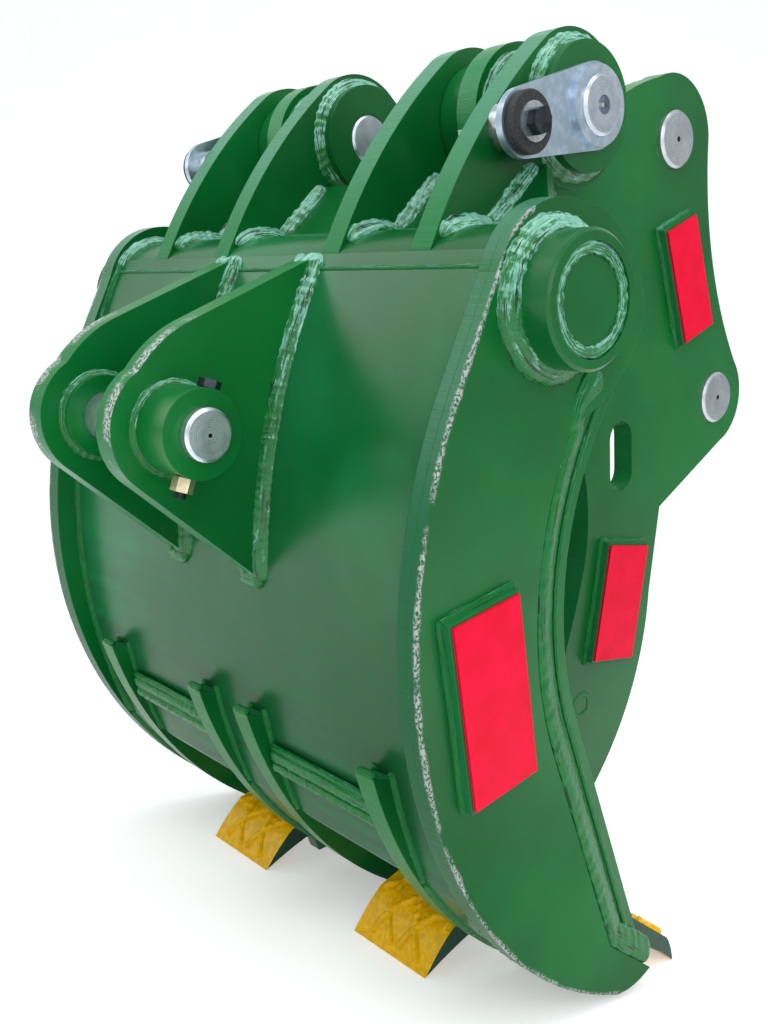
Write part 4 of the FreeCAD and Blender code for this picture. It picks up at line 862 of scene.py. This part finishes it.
# %% [markdown]
# The shell is closed by long thinner fillets: along the tube, down both side plates, and round
# the ribs beside the bays. Its lower part is bent round the crescent's own centre, so a fillet
# there is an arc of another circle. These beads sit in shade, so their painted sky reflection
# shows as few bright specks.

# %% Fillets of the front shell
TOP_SEAM = np.radians(164.5)
LIP_RADIUS = 530
LIP_SPAN = (225, 254)
BAY_NORMAL = (0, -0.875, -0.484)


def shell_fillets():
    strips = []
    top = SHELL_CENTRE + SHELL_RADIUS * np.array([np.cos(TOP_SEAM), np.sin(TOP_SEAM)])
    strips.append(level_bead(top, -335, 335, (0, -0.96, 0.27), (0.0024, 0.0012), 60))
    for side in BOTH_SIDES:
        strips.append(arc_bead(SHELL_CENTRE, SHELL_RADIUS, (163.4, 215.6), side * 336,
                               -side * LEAN, (0.0065, 0.0050), 61))
        strips.append(arc_bead(JAW, LIP_RADIUS, LIP_SPAN, side * 336, -side * LEAN,
                               (0.0055, 0.0045), 62))
        for x, out in ((63, 1), (249, -1), (35, -1), (277, 1)):
            lean = side * out * LEAN
            strips.append(arc_bead(SHELL_CENTRE, SHELL_RADIUS, (204.0, 215.6), side * x, lean,
                                   (0.0050, 0.0042), 63 + x))
            if x in (35, 277):
                strips.append(arc_bead(JAW, LIP_RADIUS, LIP_SPAN, side * x, lean,
                                       (0.0050, 0.0042), 64 + x))
        for low, high in ((36, 62), (250, 276)):
            strips.append(level_bead((-445, -747), side * low, side * high, (0, -0.6, 0.8),
                                     (0.0050, 0.0040), 65))
    bead_piece("shell_fillets", "front_jaw", strips, FILLET)


def bay_beads():
    """Three rough passes over each bay bar, one above the other."""
    strips = []
    for side in BOTH_SIDES:
        for number, (place, size) in enumerate((
                ((-407, -797), (0.0085, 0.0042)), ((-401, -810), (0.0070, 0.0045)),
                ((-408, -788), (0.0060, 0.0040)))):
            strips.append(level_bead(place, side * 65, side * 247, BAY_NORMAL, size, 80 + number))
    bead_piece("bay_bar_beads", "front_jaw", strips, FILLET)


shell_fillets()
bay_beads()


# %% [markdown]
# The cheek is a second crescent on the side plate. One broad smooth fillet holds its back edge,
# from under the tube's boss down to the tooth, and a flatter bead closes the palm strip beside
# it. The fillet could be four beads, but their joints would show. So the bow, the arc and the
# two straight lines are joined into one path first, and the directions along it with them. The
# raised panels are framed by a bead that nearly hides their base plate.

# %% Beads of the cheeks
JAW_PALM = (46.0, -488.0)


def cheek_beads():
    strips = []
    for side in BOTH_SIDES:
        x = side * 354
        neck = through((-307, -329), (-324, -357), (-322, -389.4), x)
        neck[:, 0] += side * np.linspace(8, 0, len(neck)) * MM
        seam = arc(JAW_PALM, 381, 165, 214.3, x)
        tail = straight((-268.7, -702.7), (-104.8, -943), x)
        tip = straight((-104.8, -943), (-22, -984.5), x)
        run = np.vstack([neck[:-1], seam[:-1], tail[:-1], tip])
        corner = from_axis(seam, JAW_PALM, side * 2.8, -1)
        turn = np.linspace(0, 1, len(neck))[:-1, None]
        bend = unit((1 - turn) * facing(neck[:-1], (side, 0, 0)) + turn * corner[0])
        ups = np.vstack([bend, corner[:-1],
                         facing(tail[:-1], (side * 2.8, 0.83, 0.56)),
                         facing(tip, (side * 2.8, 0.45, 0.89))])
        strips.append(bead_strip(run, ups, 0.0160, 0.0048, seed=90, rough=0.10))
        seam = arc(JAW_PALM, 356.5, 155, 214.3, side * 349)
        tail = straight((-248.5, -688.9), (-57, -970), side * 349)
        run = np.vstack([seam[:-1], tail])
        strips.append(bead_strip(run, facing(run, (side, 0.25, 0)), 0.0042, 0.0022, seed=91))
    bead_piece("cheek_beads", "front_jaw", strips, FILLET)


def frame_bead(centre, length, width, angle, x, side, seed):
    """A closed bead round a rectangle in the side view."""
    turn = np.radians(angle)
    along = np.array([np.cos(turn), np.sin(turn)])
    across = np.array([-np.sin(turn), np.cos(turn)])
    share = np.linspace(0, 1, 24, endpoint=False)[:, None]
    corners = [np.array(centre) + a * along * length / 2 + b * across * width / 2
               for a, b in ((-1, -1), (1, -1), (1, 1), (-1, 1))]
    edges = [p + share * (q - p) for p, q in zip(corners, corners[1:] + corners[:1])]
    path = np.vstack(edges)
    away = unit(path - np.array(centre))
    points = np.column_stack([np.full(len(path), side * x), path]) * MM
    ups = unit(np.column_stack([np.full(len(path), side * 1.0), away]))
    return bead_strip(points, ups, 0.0046, 0.0036, closed=True, seed=seed, rough=0.10)


def panel_beads():
    strips = [frame_bead((-400, -647), 196, 95, -68.5, 362, side, 100) for side in BOTH_SIDES]
    bead_piece("cheek_panel_beads", "front_jaw", strips, FILLET)
    strips = []
    for side in BOTH_SIDES:
        strips.append(frame_bead((32, -592), 160, 90, -88.0, 186, side, 101))
        strips.append(frame_bead((67, -162), 158, 74, -57.3, 186, side, 102))
    bead_piece("mount_panel_beads", "rear_jaw", strips, FILLET)


cheek_beads()
panel_beads()


# %% [markdown]
# The rear jaw is welded the same way: rings round the hinge bosses and the hitch collars, roots
# of the cross tube, fillets along the rear shell and the inner tine plates, and the ring of a
# plug weld on each mount plate. The two helpers make all of them but the plug's.

# %% Beads of the rear jaw
CROSS_TUBE = (-118.0, -318.0)
REAR_JAW = (-262.0, -644.0)
REAR_OUTSIDE = 362
REAR_INSIDE = 346
REAR_SPAN = (27, -66)
TINE_SPAN = (-24, -66)


def rear_beads():
    strips = []
    for side in BOTH_SIDES:
        for x, out, seed in ((157, -1, 110), (185, 1, 111)):
            strips.append(arc_bead(HINGE, 62, RING, side * x, side * out,
                                   (0.0070, 0.0055), seed))
        for centre in (STICK_PIN, LINK_PIN):
            strips.append(arc_bead(centre, 52, RING, side * 157, -side, (0.0055, 0.0045), 112))
        strips.append(arc_bead(CROSS_TUBE, 50, RING, side * 157, -side, (0.0065, 0.0055), 113))
    bead_piece("rear_boss_beads", "rear_jaw", strips, BEAD)


def rear_fillets():
    strips = []
    for side in BOTH_SIDES:
        strips.append(arc_bead(REAR_JAW, REAR_OUTSIDE, REAR_SPAN, side * 157, -side * LEAN,
                               (0.0060, 0.0050), 120))
        strips.append(arc_bead(REAR_JAW, REAR_INSIDE, REAR_SPAN, side * 157, -side * LEAN,
                               (0.0055, 0.0045), 121, outward=-1))
        for x, out in ((92, -1), (112, 1)):
            strips.append(arc_bead(REAR_JAW, REAR_OUTSIDE, TINE_SPAN, side * x,
                                   side * out * LEAN, (0.0048, 0.0040), 122 + x))
        plug = arc((0, -732), 15, *RING, side * 185)
        strips.append(bead_strip(plug, facing(plug, (side, 0, 0)), 0.0034, 0.0010,
                                 closed=True, seed=125))
    bead_piece("rear_fillets", "rear_jaw", strips, FILLET)


rear_beads()
rear_fillets()


# %% [markdown]
# Hard-facing is weld metal that outlasts the plate. It is laid in crossed runs so that soil
# packs between them. Each tooth's face is unrolled into a plane, across by along; slanting
# lines are drawn there, cut to the face, and put back on the bevel and the flat behind it, so
# that they keep their spacing over the fold.

# %% Hard-facing on the teeth
FRONT_FACE = ((69.0, -1024.5), (46.8, -991.2), (-42.5, -946.1))
REAR_FACE = ((-259.0, -1024.5), (-225.7, -974.6), (-136.5, -929.5))
RUN_SPACING = 46.0
RUN_SLANT = 0.55


def on_face(face, along):
    """Points of the folded face at a distance along it from the tip, with their directions."""
    edge, corner, back = (np.array(p, float) for p in face)
    first = np.linalg.norm(corner - edge)
    second = np.linalg.norm(back - corner)
    y = np.interp(along, [0, first, first + second], [edge[0], corner[0], back[0]])
    z = np.interp(along, [0, first, first + second], [edge[1], corner[1], back[1]])
    bevel = unit(np.array([corner[1] - edge[1], edge[0] - corner[0]]))
    flat = unit(np.array([back[1] - corner[1], corner[0] - back[0]]))
    bevel, flat = (n * np.sign(n[1]) if abs(n[1]) > 0.1 else n for n in (bevel, flat))
    share = np.clip((along - first + 4) / 8, 0, 1)[:, None]
    normal = unit((1 - share) * bevel + share * flat)
    return y, z, normal, first + second


def facing_runs(face, low, high, seed):
    """Crossed runs, each a slanting line with a slight wave on the unrolled face."""
    length = on_face(face, np.array([0.0]))[3]
    strips = []
    for lean in (1, -1):
        for start in np.arange(-120, high - low + 120, RUN_SPACING):
            s = np.linspace(0.04, 0.94, 60) * length
            x = start + lean * RUN_SLANT * (s - length / 2) + 6 * np.sin(s / 17 + seed)
            keep = (x > 4) & (x < high - low - 4)
            if keep.sum() < 12:
                continue
            y, z, normal, _ = on_face(face, s[keep])
            path = np.column_stack([low + x[keep], y, z]) * MM
            ups = np.column_stack([np.zeros(keep.sum()), normal])
            strips.append(bead_strip(path, ups, 0.0050, 0.0062, seed=seed + int(start), rough=0.24))
    return strips


def hard_facing():
    front = []
    for number, (low, high) in enumerate(((249, 336), (-336, -249), (-63, 63))):
        front += facing_runs(FRONT_FACE, low, high, 200 + 7 * number)
    bead_piece("front_hard_facing", "front_jaw", front, FACING)
    rear = []
    for number, (low, high) in enumerate(((92, 218), (-218, -92))):
        rear += facing_runs(REAR_FACE, low, high, 260 + 7 * number)
    bead_piece("rear_hard_facing", "rear_jaw", rear, FACING)


def tooth_roots():
    """Short thick beads where each tooth meets its tine plates."""
    size = (0.0055, 0.0040)
    front = [level_bead((-44, -945.5), low, high, (0, 0.2, 1), size, 300 + high)
             for low, high in ((249, 336), (-336, -249), (-62, 62))]
    rear = [level_bead((-134, -929), low, high, (0, -0.5, 1), size, 300 + high)
            for low, high in ((95, 217), (-217, -95))]
    bead_piece("front_tooth_beads", "front_jaw", front, FILLET)
    bead_piece("rear_tooth_beads", "rear_jaw", rear, FILLET)


hard_facing()
tooth_roots()

# %% [markdown]
# Seen from the camera's side, a pale floor that turns up into a wall shows no horizon. It is one
# smooth strip: flat, then a quarter circle, then upright, carried across the view. Rays that
# come straight from the camera, or by way of a mirror or glass, see the paper a little brighter
# than it is, so the background stays white while the shadow on it stays soft.

# %% Floor and light
FLOOR = -1.0265
FLOOR_FRONT = -8.0
FLOOR_BACK = 4.0
BEND = 2.5
WALL_TOP = 9.0
HALF_WIDTH = 9.0
STAGE_TURN = 47.0


def make_stage():
    """Flat from y = -8 to 4, a quarter circle of radius 2.5, then a wall, all turned about Z."""
    turn = np.linspace(0, np.pi / 2, 24)
    rise = BEND - BEND * np.cos(turn[1:])
    y = np.concatenate([[FLOOR_FRONT, FLOOR_BACK], FLOOR_BACK + BEND * np.sin(turn[1:]),
                        [FLOOR_BACK + BEND]])
    z = np.concatenate([[0.0, 0.0], rise, [WALL_TOP]]) + FLOOR
    points = np.array([[a, b, c] for b, c in zip(y, z) for a in (-HALF_WIDTH, HALF_WIDTH)])
    finish = Finish("studio_paper", Roughness=0.9)
    grain = finish.noise(4.0, 2.0)
    rays = [finish.add("LightPath", name) for name in
            ("Is Camera Ray", "Is Glossy Ray", "Is Transmission Ray")]
    seen = finish.math("MAXIMUM", finish.math("MAXIMUM", rays[0], rays[1]), rays[2])
    sight = finish.times(seen, 0.40)
    finish.set(Base_Color=finish.mix(grain, (0.89, 0.89, 0.88, 1.0), (0.92, 0.92, 0.91, 1.0)),
               Emission_Color=(1.0, 1.0, 1.0, 1.0), Emission_Strength=sight)
    faces = [grid_faces(len(y), 2, False, False)]
    paper = mesh_piece("studio_paper", points, faces, finish.material)
    paper.data.transform(Matrix.Rotation(np.radians(STAGE_TURN), 4, "Z"))
    print("stage", round(FLOOR_BACK + BEND - FLOOR_FRONT, 1), "m deep")


def area_light(name, place, target, size, power, tint=(1.0, 1.0, 1.0)):
    data = bpy.data.lights.new(name, "AREA")
    data.shape = "RECTANGLE"
    data.size, data.size_y = size
    data.energy = power
    data.color = tint
    lamp = bpy.data.objects.new(name, data)
    bpy.context.scene.collection.objects.link(lamp)
    lamp.location = place
    lamp.rotation_euler = (Vector(target) - Vector(place)).to_track_quat("-Z", "Y").to_euler()
    print("lamp", name, power, "W")


HORIZON = (0.52, 0.55, 0.56, 1.0)
ZENITH = (0.92, 0.98, 1.0, 1.0)


def make_light():
    """A sky that is pale above and dimmer at the horizon, and four soft lamps."""
    world = bpy.data.worlds.new("studio")
    world.use_nodes = True
    tree = world.node_tree
    ground = tree.nodes["Background"]
    where = tree.nodes.new("ShaderNodeTexCoord")
    split = tree.nodes.new("ShaderNodeSeparateXYZ")
    tree.links.new(where.outputs["Generated"], split.inputs[0])
    height = tree.nodes.new("ShaderNodeMapRange")
    height.interpolation_type = "SMOOTHSTEP"
    height.inputs["From Min"].default_value = -0.05
    height.inputs["From Max"].default_value = 0.75
    tree.links.new(split.outputs[2], height.inputs["Value"])
    sky = tree.nodes.new("ShaderNodeMix")
    sky.data_type = "RGBA"
    sky.inputs[6].default_value = HORIZON
    sky.inputs[7].default_value = ZENITH
    tree.links.new(height.outputs["Result"], sky.inputs[0])
    tree.links.new(sky.outputs[2], ground.inputs["Color"])
    ground.inputs["Strength"].default_value = 0.80
    bpy.context.scene.world = world
    area_light("sky", (0.2, -1.2, 2.6), (0.0, -0.3, -0.4), (2.6, 2.6), 54.0, (0.95, 0.99, 1.0))
    area_light("front", (2.4, -2.2, 0.6), (0.1, -0.2, -0.5), (1.6, 2.2), 24.0)
    area_light("left", (-2.2, -2.0, 0.8), (0.0, -0.3, -0.5), (1.2, 2.4), 16.0)
    area_light("right", (2.6, 0.4, 1.0), (0.3, -0.1, -0.5), (1.0, 1.8), 12.0)
    bpy.context.scene.view_settings.view_transform = "Standard"


make_stage()
make_light()

# %% [markdown]
# The last cell holds a helper that turns a box's corners into plain lists of numbers.

# %% Box corners
def corners(box):
    return [[float(v) for v in corner] for corner in box]
